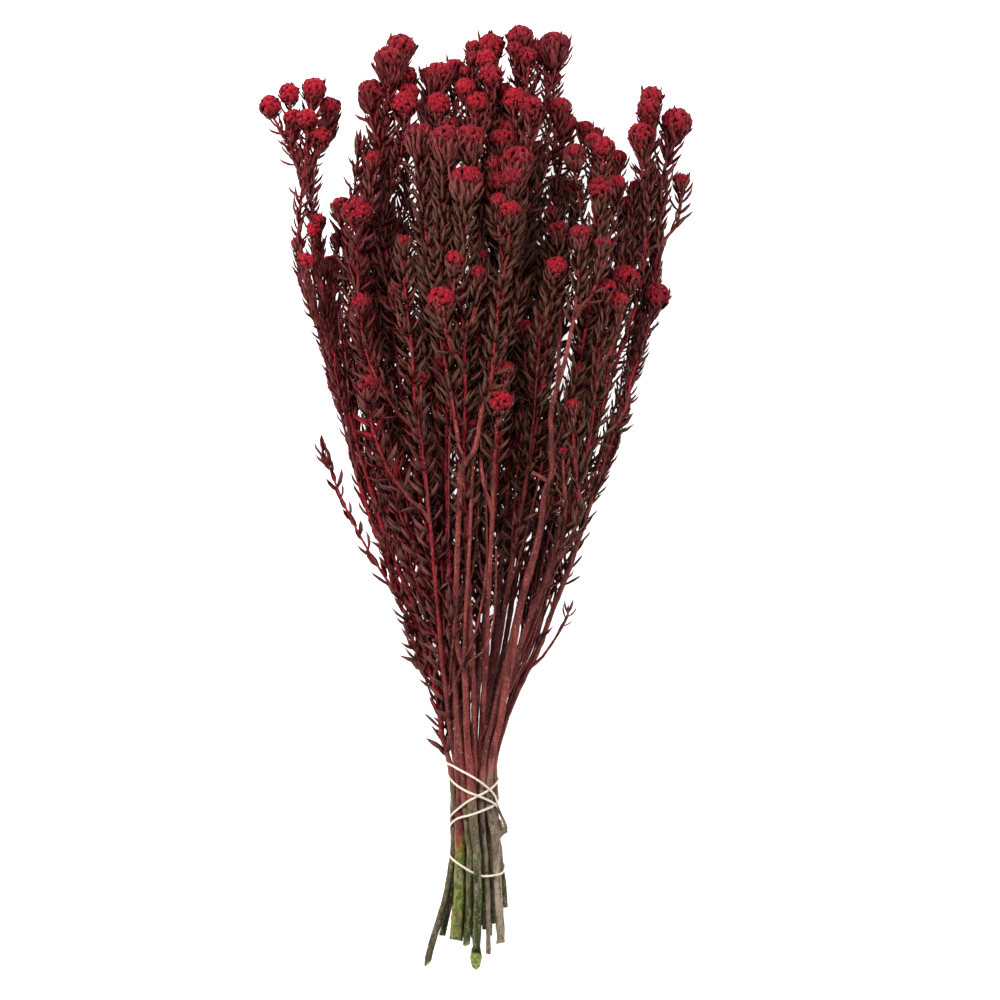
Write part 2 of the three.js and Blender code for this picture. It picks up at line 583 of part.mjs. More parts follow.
function leavesAlong(shoot, random, isClear) {
  const leaves = [];
  const to = shoot.tipY - shoot.headRadius * 0.9;
  const from = Math.min(Math.max(shoot.bareTo, shoot.rootY + 6), to - 6);
  const count = Math.max(Math.round((to - from) / leafSpacing), 1);
  let angle = random() * 2 * Math.PI;
  for (let i = 0; i < count; i += 1) {
    const y = to - (i + 0.35) * (to - from) / count;
    const length = leafLength * (0.9 + 0.2 * random());
    for (let attempt = 0; attempt < 9; attempt += 1) {
      angle += goldenAngle;
      const leaf = makeLeaf(shoot, y, angle, length, random);
      if (leaf.tip.z > 0.5 && isClear(leaf)) {
        leaves.push(leaf);
        break;
      }
    }
  }
  return leaves;
}

function makeLeaf(shoot, y, angle, length, random) {
  const root = pointAt(shoot, y);
  const frame = frameAlong(new THREE.Vector3().subVectors(pointAt(shoot, y + 6), pointAt(shoot, y - 2)));
  const origin = new THREE.Vector3();
  const outward = inFrame(origin, frame, Math.cos(angle), 0, Math.sin(angle));
  const spread = (leafSpread + 8 * (random() - 0.5)) * degree;
  const direction = outward.clone().multiplyScalar(Math.sin(spread)).addScaledVector(frame.along, Math.cos(spread));
  const tip = root.clone().addScaledVector(direction, length);
  return { root, tip, direction, outward, length };
}

// Direction that a head faces: along its shoot, turned up or down
function makeHead(shoot) {
  const centre = pointAt(shoot, shoot.tipY);
  const below = pointAt(shoot, shoot.tipY - 1.5 * shoot.headRadius);
  const heading = new THREE.Vector3().subVectors(centre, below).normalize();
  const turn = shoot.turn * degree;
  const facing = heading.multiplyScalar(Math.cos(turn)).add(new THREE.Vector3(0, 0, Math.sin(turn)));
  return { centre, radius: shoot.headRadius, frame: frameAlong(facing) };
}

function makeStump([rootY, x, y, z, radius], main) {
  const root = pointAt(main, rootY);
  const tip = new THREE.Vector3(x, y, z);
  const middle = root.clone().lerp(tip, 0.6);
  return { points: [root, middle, tip], radii: [radius, radius, radius * 0.8] };
}

// Capsules of everything that is not a leaf, for the leaves to keep clear of
function obstaclesOf(shoots) {
  const capsules = [];
  for (const shoot of shoots) {
    const { points, radii } = shoot.bar;
    for (let i = 1; i < points.length; i += 1) {
      const radius = Math.max(radii[i], radii[i - 1]);
      capsules.push({ node: shoot.node, from: points[i - 1], to: points[i], radius });
    }
  }
  for (const { node, head } of shoots) {
    const neck = inFrame(head.centre, head.frame, 0, -head.radius, 0);
    const middle = inFrame(head.centre, head.frame, 0, -head.radius * 0.2, 0);
    capsules.push({ node, from: neck, to: neck, radius: head.radius * 0.7 });
    capsules.push({ node, from: middle, to: middle, radius: head.radius * 1.12 });
  }
  return capsules;
}

function makeClearTest(node, capsules) {
  return (leaf) => {
    const half = leafWidth * 0.5;
    const [low, high] = [Math.min(leaf.root.y, leaf.tip.y), Math.max(leaf.root.y, leaf.tip.y)];
    return capsules.every((other) => {
      if (other.node === node) return true;
      const need = half + other.radius + leafClearance;
      if (Math.min(other.from.y, other.to.y) > high + need) return true;
      if (Math.max(other.from.y, other.to.y) < low - need) return true;
      return segmentDistance({ from: leaf.root, to: leaf.tip }, other) > need;
    });
  };
}

// The largest body of a fused solid; a sealed hollow or a loose scrap is left out
function mainBody(solid) {
  const bodies = solid.decompose();
  return bodies.reduce((best, body) => (body.volume() > best.volume() ? body : best));
}

const floorSlab = asSolid(new THREE.BoxGeometry(700, 900, 60).translate(0, 0, -30));

function fuseStem(node, shoots, leaves) {
  let solid = null;
  const join = (geometry) => {
    const piece = asSolid(geometry);
    solid = solid ? solid.add(piece) : piece;
  };
  for (const shoot of shoots) join(shootShape(shoot));
  for (const stump of stems[node].stumps ?? []) {
    const { points, radii } = makeStump(stump, shoots[0]);
    join(bentBar(points, radii, 5));
  }
  for (const leaf of leaves) join(leafShape(leaf));
  return mainBody(solid.subtract(floorSlab));
}

// Outline of the bundled stems at height y: how far it reaches in a direction from its middle
function bundleAt(shoots, y) {
  const discs = shoots.filter((shoot) => !shoot.parent && shoot.rootY < y).map((shoot) => barAt(shoot.bar, y));
  const box = new THREE.Box3().setFromPoints(discs.map((disc) => disc.centre));
  return { discs, middle: box.getCenter(new THREE.Vector3()) };
}

function outsideBundle(shoots, angle, y, margin) {
  const { discs, middle } = bundleAt(shoots, y);
  const towards = (a) => new THREE.Vector3(Math.cos(a), 0, Math.sin(a));
  const ray = towards(angle);
  let distance = Infinity;
  for (let aside = -80; aside <= 80; aside += 4) {
    const normal = towards(angle + aside * degree);
    const reaches = discs.map(({ centre, radius }) => centre.clone().sub(middle).dot(normal) + radius);
    distance = Math.min(distance, (Math.max(...reaches) + margin) / ray.dot(normal));
  }
  return ray.multiplyScalar(distance).add(new THREE.Vector3(middle.x, y, middle.z));
}

function bandShape(shoots) {
  const points = bandHook.map(([x, y, z]) => new THREE.Vector3(x, y, z)).reverse();
  const rounds = [];
  for (let i = 0; i < bandRoute.length; i += 1) {
    const [angle, y, layer] = bandRoute[i];
    const margin = bandRadius + bandGap + layer * bandLayer;
    rounds.push(outsideBundle(shoots, angle * degree, y, margin));
    if (i === bandRoute.length - 1) break;
    const next = bandRoute[i + 1];
    const between = Math.ceil(Math.abs(next[0] - angle) / 16);
    for (let j = 1; j < between; j += 1) {
      const t = j / between;
      const [a, h, l] = [0, 1, 2].map((axis) => bandRoute[i][axis] * (1 - t) + next[axis] * t);
      rounds.push(outsideBundle(shoots, a * degree, h, bandRadius + bandGap + l * bandLayer));
    }
  }
  const curve = new THREE.CatmullRomCurve3([...rounds, ...points], true, 'centripetal');
  const steps = bandSteps;
  const places = curve.getSpacedPoints(steps).slice(0, steps);
  const ringRadius = 10;
  const ring = new THREE.TorusGeometry(ringRadius, 1, bandSides, steps);
  return reshape(ring, (v) => {
    const i = (Math.round(Math.atan2(v.y, v.x) / (2 * Math.PI) * steps) + steps) % steps;
    const [after, before] = [places[(i + 1) % steps], places[(i + steps - 1) % steps]];
    const along = new THREE.Vector3().subVectors(after, before).normalize();
    const { middle } = bundleAt(shoots, places[i].y);
    const out = new THREE.Vector3(places[i].x - middle.x, 0, places[i].z - middle.z);
    const side = new THREE.Vector3().crossVectors(out, along).normalize();
    const up = new THREE.Vector3().crossVectors(along, side).normalize();
    const ringOut = Math.hypot(v.x, v.y) - ringRadius;
    return places[i].clone().addScaledVector(up, ringOut * bandRadius).addScaledVector(side, v.z * bandRadius);
  });
}

function addMesh(group, name, geometry, colour, roughness) {
  const material = new THREE.MeshStandardMaterial({ color: colour, roughness, metalness: 0 });
  const mesh = new THREE.Mesh(geometry, material);
  mesh.name = name;
  group.add(mesh);
}

const random = seededRandom(seed);
const shoots = makeShoots();
settle(shoots);
for (const shoot of shoots) {
  shoot.bar = shootBar(shoot);
  shoot.head = makeHead(shoot);
}
const capsules = obstaclesOf(shoots);

const group = new THREE.Group();
stems.forEach((stem, node) => {
  const own = shoots.filter((shoot) => shoot.node === node);
  const isClear = makeClearTest(node, capsules);
  const leaves = own.flatMap((shoot) => leavesAlong(shoot, random, isClear));
  for (const leaf of leaves) capsules.push({ node, from: leaf.root, to: leaf.tip, radius: leafWidth * 0.5 });
  const solid = fuseStem(node, own, leaves);
  addMesh(group, `branch_${String(node + 1).padStart(2, '0')}`, asGeometry(solid), 0x6b2a2c, 0.85);
});
addMesh(group, 'tie_band', asGeometry(asSolid(bandShape(shoots))), 0xeee6d4, 0.7);

export default group;
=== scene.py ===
# A tied bunch of dried phylica, lying down and seen from straight above.
# Sizes here are in millimetres, as in the part's drawing. What goes into Blender is in metres.
import bpy
import json
import math
import numpy as np
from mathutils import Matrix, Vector, noise

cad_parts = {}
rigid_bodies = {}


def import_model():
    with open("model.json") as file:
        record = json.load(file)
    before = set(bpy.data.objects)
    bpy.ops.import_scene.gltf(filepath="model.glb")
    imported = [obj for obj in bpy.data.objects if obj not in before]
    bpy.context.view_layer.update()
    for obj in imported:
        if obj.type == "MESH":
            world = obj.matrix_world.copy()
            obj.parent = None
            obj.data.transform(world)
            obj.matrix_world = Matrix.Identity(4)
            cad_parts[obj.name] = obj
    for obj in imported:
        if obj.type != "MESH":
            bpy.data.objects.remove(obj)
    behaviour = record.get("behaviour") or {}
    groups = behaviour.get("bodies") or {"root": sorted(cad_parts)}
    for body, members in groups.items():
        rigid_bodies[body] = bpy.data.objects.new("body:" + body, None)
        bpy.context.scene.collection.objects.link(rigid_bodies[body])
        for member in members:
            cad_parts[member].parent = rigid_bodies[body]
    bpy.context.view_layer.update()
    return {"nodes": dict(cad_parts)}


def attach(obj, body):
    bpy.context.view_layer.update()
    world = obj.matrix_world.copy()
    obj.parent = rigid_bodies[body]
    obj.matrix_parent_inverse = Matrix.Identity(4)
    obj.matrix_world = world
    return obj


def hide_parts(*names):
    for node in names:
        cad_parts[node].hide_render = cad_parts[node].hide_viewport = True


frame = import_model()
print("frame loaded:", len(frame["nodes"]), "nodes")

mm = 0.001
scene = bpy.context.scene
noise.seed_set(1)  # without this it would differ from run to run

# The bunch: how the stems were laid out for the solids, so that each fine piece stands where its solid is
bunch = {
    "sliceStep": 8.0, "tieY": -190.0, "headNeck": 1.1, "headTop": 0.75, "coreRadius": 2.5,
    "twigRadius": 1.25, "tipRadius": 1.5, "twigTip": 1.6, "clearance": 1.1, "floorPress": 0.25,
    "tieRoom": 3.1, "tieReach": 46.0, "forkDrop": 22.0, "forkSlope": 1.9, "forkRoom": 12.0,
    "settleRounds": 90, "ownSpacing": 0.8, "ownPush": 0.12, "otherPush": 0.42, "sidewaysShare": 0.7,
}

# A stem stands at tie [x, z], its cut end is at end [x, y, z], and it has no leaves below bareTo.
# It passes the via points and ends in its first head. The other heads are on side shoots.
# A head is [x, y, z, radius, degrees that it turns up], and twigs end in leaves alone.
stems = [
  { # left edge, with the loose cluster of nine heads
    "tie": [-18, 22], "end": [-34, -298, 13], "radius": 2.2, "bareTo": -165,
    "via": [[-26, -149, 22], [-46, -79, 31], [-71, -3, 43], [-93, 74, 52], [-109, 138, 58], [-112, 182, 60]],
    "heads": [[-105, 262, 59, 7.6, 35], [-121, 259, 62, 6.4, 60], [-132, 251, 60, 7, 60],
      [-95, 251, 49, 7, 20], [-96, 240, 46, 5.7, 20], [-120, 243, 70, 4.5, 40],
      [-121, 235, 62, 4.1, 30], [-109, 242, 75, 5.1, 50], [-100, 231, 69, 5.1, 40]],
  },
  { # left, with the leafy twig that stands out of the outline
    "tie": [-16, 16], "end": [-25, -280, 11], "radius": 2, "bareTo": -160,
    "via": [[-22, -149, 20], [-38, -89, 29], [-65, -12, 42], [-86, 64, 54], [-100, 128, 60]],
    "heads": [[-103, 178, 64, 5.1, 15], [-106, 172, 71, 4.5, 50], [-92, 167, 45, 4.5, 10],
      [-109, 152, 72, 5.1, 60], [-116, 164, 52, 4.5, 10], [-86, 171, 41, 3.8, 10]],
    "twigs": [[-100, 36, 46, -70]],
  },
  {
    "tie": [-15, 27], "end": [-12, -282, 19], "radius": 2.4, "bareTo": -120,
    "via": [[-19, -127, 32], [-30, -63, 42], [-54, 13, 52], [-71, 96, 64], [-81, 166, 65], [-75, 217, 64]],
    "heads": [[-68, 260, 64, 8.3, 15], [-88, 188, 52, 6.4, 5], [-75, 183, 82, 8.9, 55], [-66, 216, 74, 5.7, 45]],
  },
  { # the tall tower of heads at the upper left
    "tie": [-12, 19], "end": [-16, -283, 13], "radius": 2.3, "bareTo": -90,
    "via": [[-16, -120, 25], [-25, -57, 37], [-41, 20, 51], [-55, 109, 59], [-61, 185, 63], [-60, 236, 64]],
    "heads": [[-49, 289, 56, 8.9, 30], [-57, 279, 73, 9.6, 15], [-47, 270, 60, 7, 15],
      [-45, 259, 64, 6.4, 30], [-47, 251, 78, 7.6, 55]],
  },
  {
    "tie": [-10, 13], "end": [-13, -281, 8], "radius": 1.9, "bareTo": -70,
    "via": [[-14, -114, 21], [-18, -38, 35], [-27, 64, 55], [-33, 160, 63], [-29, 224, 65]],
    "heads": [[-25, 271, 66, 8.9, 10], [-33, 272, 48, 5.1, 10], [-25, 251, 77, 7.6, 50]],
  },
  {
    "tie": [-11, 30], "end": [-9, -283, 18], "radius": 2.2, "bareTo": -60,
    "via": [[-16, -127, 36], [-19, -63, 47], [-21, 13, 61], [-20, 83, 77], [-23, 160, 89]],
    "heads": [[-20, 228, 96, 9.6, 5], [-18, 238, 73, 5.7, 20], [-5, 228, 89, 9.6, 10], [-16, 277, 48, 5.7, 10]],
  },
  { # top middle
    "tie": [-7, 19], "end": [-6, -280, 9], "radius": 2.3, "bareTo": -40,
    "via": [[-8, -120, 26], [-9, -38, 40], [-7, 52, 53], [-2, 141, 62], [3, 224, 65]],
    "heads": [[7, 289, 60, 8.3, 60], [-5, 289, 52, 5.1, 25], [3, 280, 72, 6.4, 45], [-6, 281, 68, 4.5, 30],
      [-8, 261, 81, 6.4, 40], [-3, 252, 88, 7, 50], [8, 269, 81, 7.6, 60], [-9, 272, 64, 4.5, 30]],
  },
  { # top right
    "tie": [2, 16], "end": [2, -276, 12], "radius": 2.4, "bareTo": -20,
    "via": [[7, -114, 21], [14, -38, 32], [21, 52, 49], [26, 141, 57], [28, 224, 60]],
    "heads": [[26, 295, 60, 8.3, 20], [22, 287, 68, 5.1, 30], [30, 282, 74, 5.7, 50], [38, 289, 60, 4.5, 20],
      [49, 290, 60, 9.6, 5], [43, 283, 52, 4.5, 15], [47, 270, 44, 5.1, 15]],
  },
  {
    "tie": [-2, 23], "end": [-3, -282, 15], "radius": 2, "bareTo": -30,
    "via": [[0, -120, 29], [6, -44, 42], [13, 45, 56], [18, 128, 65], [19, 198, 70]],
    "heads": [[21, 254, 75, 7.6, 60], [16, 261, 64, 5.1, 50], [32, 249, 83, 7, 45], [44, 250, 60, 7, 20],
      [18, 236, 71, 6.4, 20], [11, 228, 83, 7.6, 20]],
  },
  {
    "tie": [5, 12], "end": [5, -280, 8], "radius": 2.1, "bareTo": 0,
    "via": [[12, -120, 17], [24, -44, 29], [37, 45, 45], [46, 128, 52], [49, 192, 56]],
    "heads": [[56, 241, 52, 6.4, 30], [67, 237, 56, 5.7, 20], [74, 234, 48, 5.1, 20], [79, 224, 75, 7, 50],
      [61, 220, 73, 7, 20], [88, 218, 63, 5.7, 20], [72, 229, 66, 5.1, 20]],
  },
  { # the thick stem in front that forks twice
    "tie": [-5, 31], "end": [-2, -293, 20], "radius": 2.9, "bareTo": 60,
    "via": [[-8, -140, 37], [-9, -109, 43], [-14, -89, 47], [-14, -38, 62], [-12, 7, 72], [-11, 20, 75],
      [-3, 32, 78], [2, 53, 80], [7, 71, 84], [10, 96, 89], [14, 141, 93]],
    "heads": [[24, 215, 94, 9.6, 10], [10, 213, 88, 5.7, 40], [11, 201, 98, 6.4, 55], [20, 203, 100, 6.4, 25],
      [12, 189, 100, 5.1, 20], [19, 183, 100, 6.4, 35], [-36, 230, 90, 8.9, 5, 20],
      [-4, 48, 72, 3.8, 20, -109]],
  },
  { # right, with three heads one above the other
    "tie": [8, 19], "end": [7, -272, 11], "radius": 2.2, "bareTo": 10,
    "via": [[12, -149, 22], [26, -95, 28], [49, -28, 41], [77, 58, 55], [96, 134, 62], [102, 192, 66]],
    "heads": [[110, 257, 59, 7, 45], [108, 248, 68, 7.6, 45], [103, 232, 73, 8.3, 25]],
  },
  { # right edge
    "tie": [10, 17], "end": [16, -262, 9], "radius": 2, "bareTo": 15,
    "via": [[14, -152, 18], [31, -95, 25], [58, -25, 37], [89, 52, 46], [109, 115, 54], [120, 173, 57]],
    "heads": [[129, 241, 59, 9.6, 35], [129, 204, 54, 5.1, 20]],
    "twigs": [[57, -66, 30, -115]],
  },
  {
    "tie": [2, 28], "end": [5, -291, 19], "radius": 2.2, "bareTo": 0,
    "via": [[11, -140, 29], [21, -76, 38], [42, 1, 52], [62, 83, 67], [73, 147, 76]],
    "heads": [[77, 197, 86, 7.6, 50], [85, 201, 71, 5.7, 25], [59, 198, 58, 5.1, 20], [93, 189, 63, 5.1, 10],
      [100, 183, 48, 4.5, 10]],
  },
  { # the thick bare stem in front on the right, with the stump that the tie hooks on
    "tie": [6, 29], "end": [12, -284, 20], "radius": 2.9, "bareTo": 110,
    "via": [[8, -165, 29], [14, -143, 33], [20, -101, 41], [28, -57, 53], [35, -22, 62], [39, 10, 70],
      [45, 39, 75], [47, 61, 79], [52, 83, 83], [57, 106, 86], [61, 128, 88]],
    "heads": [[64, 168, 89, 7, 10], [78, 163, 90, 4.5, 10, 115], [49, 171, 80, 6.4, 10, 61],
      [46, 183, 68, 4.5, 20, 70]],
    "stumps": [[12, 33, 18, 73, 1.3], [-202, 16.2, -211, 24.8, 2.1], [-217, 17, -210.6, 24.4, 2.0]],
    "curls": [[[[10.6, -194, 28.2], [13.4, -200.5, 28], [16.2, -206.5, 26.6], [17.3, -210.5, 25]], 0.85]],
  },
  {
    "tie": [12, 19], "end": [9, -262, 10], "radius": 2.1, "bareTo": 10,
    "via": [[12, -149, 26], [27, -95, 35], [49, -38, 48], [70, 32, 63], [79, 90, 76]],
    "heads": [[80, 134, 85, 7, 10], [93, 142, 78, 7.6, 25], [90, 127, 80, 5.7, 20], [113, 131, 61, 7.6, 45],
      [59, 60, 76, 5.1, 10], [53, 31, 71, 3.8, 20], [62, 3, 61, 2.5, 20]],
  },
  { # front middle
    "tie": [-2, 30], "end": [-9, -285, 16], "radius": 2.1, "bareTo": -20,
    "via": [[-3, -146, 35], [-6, -76, 48], [-9, 1, 68], [-10, 77, 85], [-11, 141, 93]],
    "heads": [[-8, 202, 97, 9.8, 5], [-17, 127, 96, 8.3, 30], [-13, 152, 96, 5.7, 25], [-2, 143, 93, 5.7, 15],
      [2, 155, 85, 3.2, 20]],
  },
  {
    "tie": [-14, 24], "end": [-15, -273, 10], "radius": 2.1, "bareTo": -110,
    "via": [[-18, -140, 31], [-25, -76, 45], [-33, 1, 64], [-42, 77, 78], [-47, 128, 85]],
    "heads": [[-48, 163, 87, 5.1, 20], [-53, 134, 82, 3.8, 20], [-75, 126, 80, 5.7, 30], [-70, 74, 76, 6.4, 35],
      [-37, 78, 77, 4.5, 30]],
  },
  {
    "tie": [1, 27], "end": [0, -273, 17], "radius": 2.6, "bareTo": 20,
    "via": [[3, -152, 29], [5, -89, 44], [7, -38, 60], [9, -12, 66], [11, 17, 73], [14, 39, 77]],
    "heads": [[18, 63, 83, 7.6, 35], [18, 83, 82, 5.7, 40], [0, 39, 74, 3.2, 20]],
    "stumps": [[-155, 4, -144, 32, 1.2]],
  },
  {
    "tie": [2, 21], "end": [-1, -278, 10], "radius": 1.9, "bareTo": 0,
    "via": [[7, -127, 28], [17, -63, 41], [30, 13, 55], [42, 83, 69]],
    "heads": [[51, 148, 85, 6.4, 40], [28, 110, 64, 5.7, 30], [37, 82, 55, 5.7, 30], [48, 124, 62, 5.1, 30]],
  },
  { # the last five lie underneath
    "tie": [-12, 12], "end": [-19, -270, 5], "radius": 1.9, "bareTo": -60,
    "via": [[-19, -127, 16], [-35, -50, 20], [-52, 45, 26], [-62, 128, 26]],
    "heads": [[-58, 224, 31, 7.6, -20], [-81, 210, 37, 6.4, -25], [-65, 171, 23, 7.6, -30],
      [-94, 152, 41, 5.7, -15], [-76, 109, 23, 7, -35]],
  },
  {
    "tie": [-8, 9], "end": [-14, -276, -2], "radius": 1.9, "bareTo": -40,
    "via": [[-11, -127, 10], [-19, -44, 13], [-25, 45, 16], [-31, 128, 19]],
    "heads": [[-32, 253, 27, 8.3, -15], [-39, 152, 5, 7.6, -35], [-14, 187, 11, 8.3, -30], [-25, 95, 11, 6.4, -35]],
  },
  {
    "tie": [-4, 7], "end": [-4, -270, -2], "radius": 2, "bareTo": -20,
    "via": [[-2, -127, 8], [0, -38, 10], [5, 64, 12], [7, 141, 18]],
    "heads": [[12, 258, 31, 8.3, -10], [-6, 240, 19, 8.3, -20], [17, 160, 5, 7.6, -35], [25, 77, 10, 6.4, -35]],
  },
  {
    "tie": [1, 9], "end": [4, -267, -2], "radius": 2, "bareTo": 0,
    "via": [[8, -127, 10], [19, -38, 13], [34, 58, 16], [42, 134, 19]],
    "heads": [[35, 224, 21, 8.3, -15], [53, 203, 5, 7.6, -25], [42, 137, 12, 7, -35], [68, 166, 20, 7.6, -30]],
  },
  {
    "tie": [6, 15], "end": [9, -264, 6], "radius": 1.9, "bareTo": 10,
    "via": [[15, -127, 17], [35, -44, 22], [61, 52, 26], [77, 128, 31]],
    "heads": [[79, 210, 33, 7.6, -15], [102, 199, 39, 7, -25], [93, 159, 28, 7.6, -30], [112, 166, 44, 6.4, -15],
      [72, 95, 22, 6.4, -35]],
  },
]

# The elastic's route: degrees round the bundle, y and layer, and the points of its hook
bandRoute = [
  [16, -199, 1], [31, -191, 1], [52, -185, 1], [77, -179, 1], [103, -174, 0], [140, -170, 0],
  [175, -168, 0], [215, -169, 0], [270, -173, 0], [325, -177, 0], [365, -179, 0], [387, -181, 0],
  [412, -185, 0], [437, -188, 0], [465, -192, 0], [491, -197, 0], [520, -201, 0], [545, -206, 0],
  [585, -214, 0], [630, -222, 0], [680, -231, 0], [715, -236, 0], [750, -239, 0], [790, -241, 0],
  [830, -237, 0], [862, -231, 0], [893, -227, 0], [914, -217, 0], [893, -208, 0], [854, -203, 0],
  [820, -201, 0], [790, -198, 0], [756, -195, 0], [735, -193, 0], [700, -190, 0], [650, -187, 0],
  [600, -183, 0], [560, -178, 0], [540, -176, 0], [505, -181, 0], [465, -186, 0], [437, -189, 1],
  [405, -193, 1], [375, -198, 1],
]
bandHook = [
  [14.2, -204, 28.6], [15.7, -210.5, 27.6], [16.3, -214.4, 25], [15.7, -210.8, 22.4], [14.2, -204, 21.4],
]


def fadeIn(value, start, end):
    return min(max((value - start) / (end - start), 0.0), 1.0)


def alongKnots(knots, y):
    i = 1
    while i < len(knots) - 1 and knots[i][1] < y:
        i += 1
    a, b = knots[i - 1], knots[i]
    span = b[1] - a[1]
    t = min(max((y - a[1]) / span, 0.0), 1.0)

    def slope(j, axis):
        before, after = knots[max(j - 1, 0)], knots[min(j + 1, len(knots) - 1)]
        return (after[axis] - before[axis]) / (after[1] - before[1])

    def value(axis):
        return (a[axis] * (1 + 2 * t) * (1 - t) ** 2 + b[axis] * t * t * (3 - 2 * t)
                + span * (slope(i - 1, axis) * t * (1 - t) ** 2 - slope(i, axis) * t * t * (1 - t)))
    return value(0), value(2)


# How the laid out lines are drawn: tightened by the tie, further than solids with clear gaps can lie,
# with slight crooks, and side shoots that lie against their parent at first
drawing = {
    "y": [-298, -283, -255, -225, -195, -165, -135, -100], "share": [1, 0.97, 0.86, 0.8, 0.79, 0.8, 0.88, 1],
    "shift": [0, 0.4, 1.4, 1.6, -0.8, -1.5, -0.9, 0], "crookLength": 26.0, "crookSize": 0.55,
    "blend": 14.0, "blends": {0: 24.0}, "parting": 1.5, "outerTwigBend": 0.35,
}
# crooks of single stems, and of single side shoots: at these y they stand so far aside
crooks = {
    14: ([-298, -222, -211, -196, -50, -18, 5, 18, 31, 50, 61, 85], [0.9, 1.5, 2.3, 0, 0, 3, 2.5, 5, 1, -2, -2, 0]),
    2: ([-290, -225, -205, -190, 130, 170, 200, 235, 256], [-2.4, -2.0, -0.4, 0, 0, 7, 10, 8, 0]),
    12: ([-170, -130, -90, -40, 30, 120, 165, 200, 235, 262], [0, 3.2, 6.5, 6.5, 0, 0, -5, -8, -5, 0]),
    11: ([-150, -110, -60, 20, 60, 140, 190, 235], [0, 2, 2.5, 0, 0, 6, 5, 0]),
    24: ([-150, -110, -50, 20], [0, 4, 4, 0]), 1: ([-150, -125, -80, -40], [0, 2, 3, 0]),
    0: ([-150, -125, -95, -65, -50, -20, 10, 40, 100, 135, 155], [0, 4, 7, 6.5, 4, 1, 0, 4, 4.5, 2, 0]),
    15: ([-150, -110, -60, 0], [0, -2, -3, 0]), 13: ([-150, -110, -50, 10], [0, 1.5, 3, 0]),
}
sideCrooks = {(15, 3): ([58, 78, 104, 130], [0, -8, -7, 0]), (20, 1): ([150, 175, 200, 215], [0, 6, 9, 9]),
              (0, 5): ([195, 225, 250], [0, 3, 3]), (0, 6): ([195, 225, 250], [0, 5, 5])}
# the stalks of the loose cluster all part at one height, but for the first, and its small heads are bigger
gathered = {"node": 0, "from": 204.0, "woodFrom": 198.0, "leafFrom": 212.0, "bareUnderHead": 7.0, "headGrowth": 0.3,
            "grownFrom": 6.5, "grownTo": 5.0}


class Shoot:
    # One shoot in slices across Y: where it would lie (x, z)
    def __init__(self, node, parent, rootY, place, tipY, headRadius, turn, bareTo, radius, isTwig=False):
        self.node, self.parent, self.rootY, self.tipY = node, parent, rootY, tipY
        self.headRadius, self.turn, self.bareTo, self.radius = headRadius, turn, bareTo, radius
        self.isTwig, self.isFine, self.isGathered, self.crook = isTwig, False, False, None
        self.blend = drawing["blends"].get(node, drawing["blend"])
        step = bunch["sliceStep"]
        topY = tipY + bunch["headTop"] * headRadius
        self.first = math.ceil(rootY / step)
        ys = np.arange(self.first, math.floor(topY / step + 1e-9) + 1) * step
        self.spots = np.array([place(y) for y in ys])
        self.reach = np.array([self.reachAt(y) for y in ys])

    def woodAt(self, y):
        if self.parent:
            return bunch["twigRadius"]
        tip = bunch["tipRadius"]
        return tip + (self.radius - tip) * (1 - fadeIn(y, bunch["tieY"], self.tipY))

    def reachAt(self, y):
        up = (y - self.tipY) / self.headRadius
        core = bunch["coreRadius"]
        if up > -bunch["headNeck"]:
            return max(self.headRadius * 1.05 * math.sqrt(max(1 - (up / 1.25) ** 2, 0.1)), core)
        wood = self.woodAt(y)
        return wood + (core + 0.3 - wood) * fadeIn(y, self.bareTo, self.bareTo + 12)

    def sliceAt(self, y):
        s = min(max(y / bunch["sliceStep"] - self.first, 0.0), len(self.spots) - 1.0)
        i = min(int(s), len(self.spots) - 2)
        return i, s - i

    def centreAt(self, y):
        i, t = self.sliceAt(y)
        return self.spots[i] * (1 - t) + self.spots[i + 1] * t

    # The same line drawn smooth, with the slight crooks that a real stem has
    def pointAt(self, y):
        i, t = self.sliceAt(y)
        last = len(self.spots) - 1
        p0, p1, p2, p3 = (self.spots[min(max(j, 0), last)] for j in (i - 1, i, i + 1, i + 2))
        x, z = 0.5 * (2 * p1 + (p2 - p0) * t + (2 * p0 - 5 * p1 + 4 * p2 - p3) * t * t
                      + (3 * p1 - p0 - 3 * p2 + p3) * t ** 3)
        crook = noise.noise_vector(Vector((x, y * 0.8, z)) / drawing["crookLength"]) * drawing["crookSize"]
        share, shift = (np.interp(y, drawing["y"], drawing[label]) for label in ("share", "shift"))
        x = (x + crook.x) * share + shift
        if self.node in crooks and not self.parent:
            x += np.interp(y, *crooks[self.node])
        if self.crook:
            x += np.interp(y, *self.crook)
        point = np.array([x, y, z + crook.z])
        if self.parent and y < self.rootY + self.blend:
            away = fadeIn(y, self.rootY, self.rootY + self.blend)
            point += (self.parent.pointAt(y) - point) * (1 - away) ** drawing["parting"]
        if self.isGathered:
            away = fadeIn(y, gathered["from"], self.tipY - 0.6 * self.headRadius)
            point += (self.parent.pointAt(y) - point) * (1 - away)
        return point

    def headingAt(self, y):
        step = self.pointAt(y + 3) - self.pointAt(y - 3)
        return step / np.linalg.norm(step)


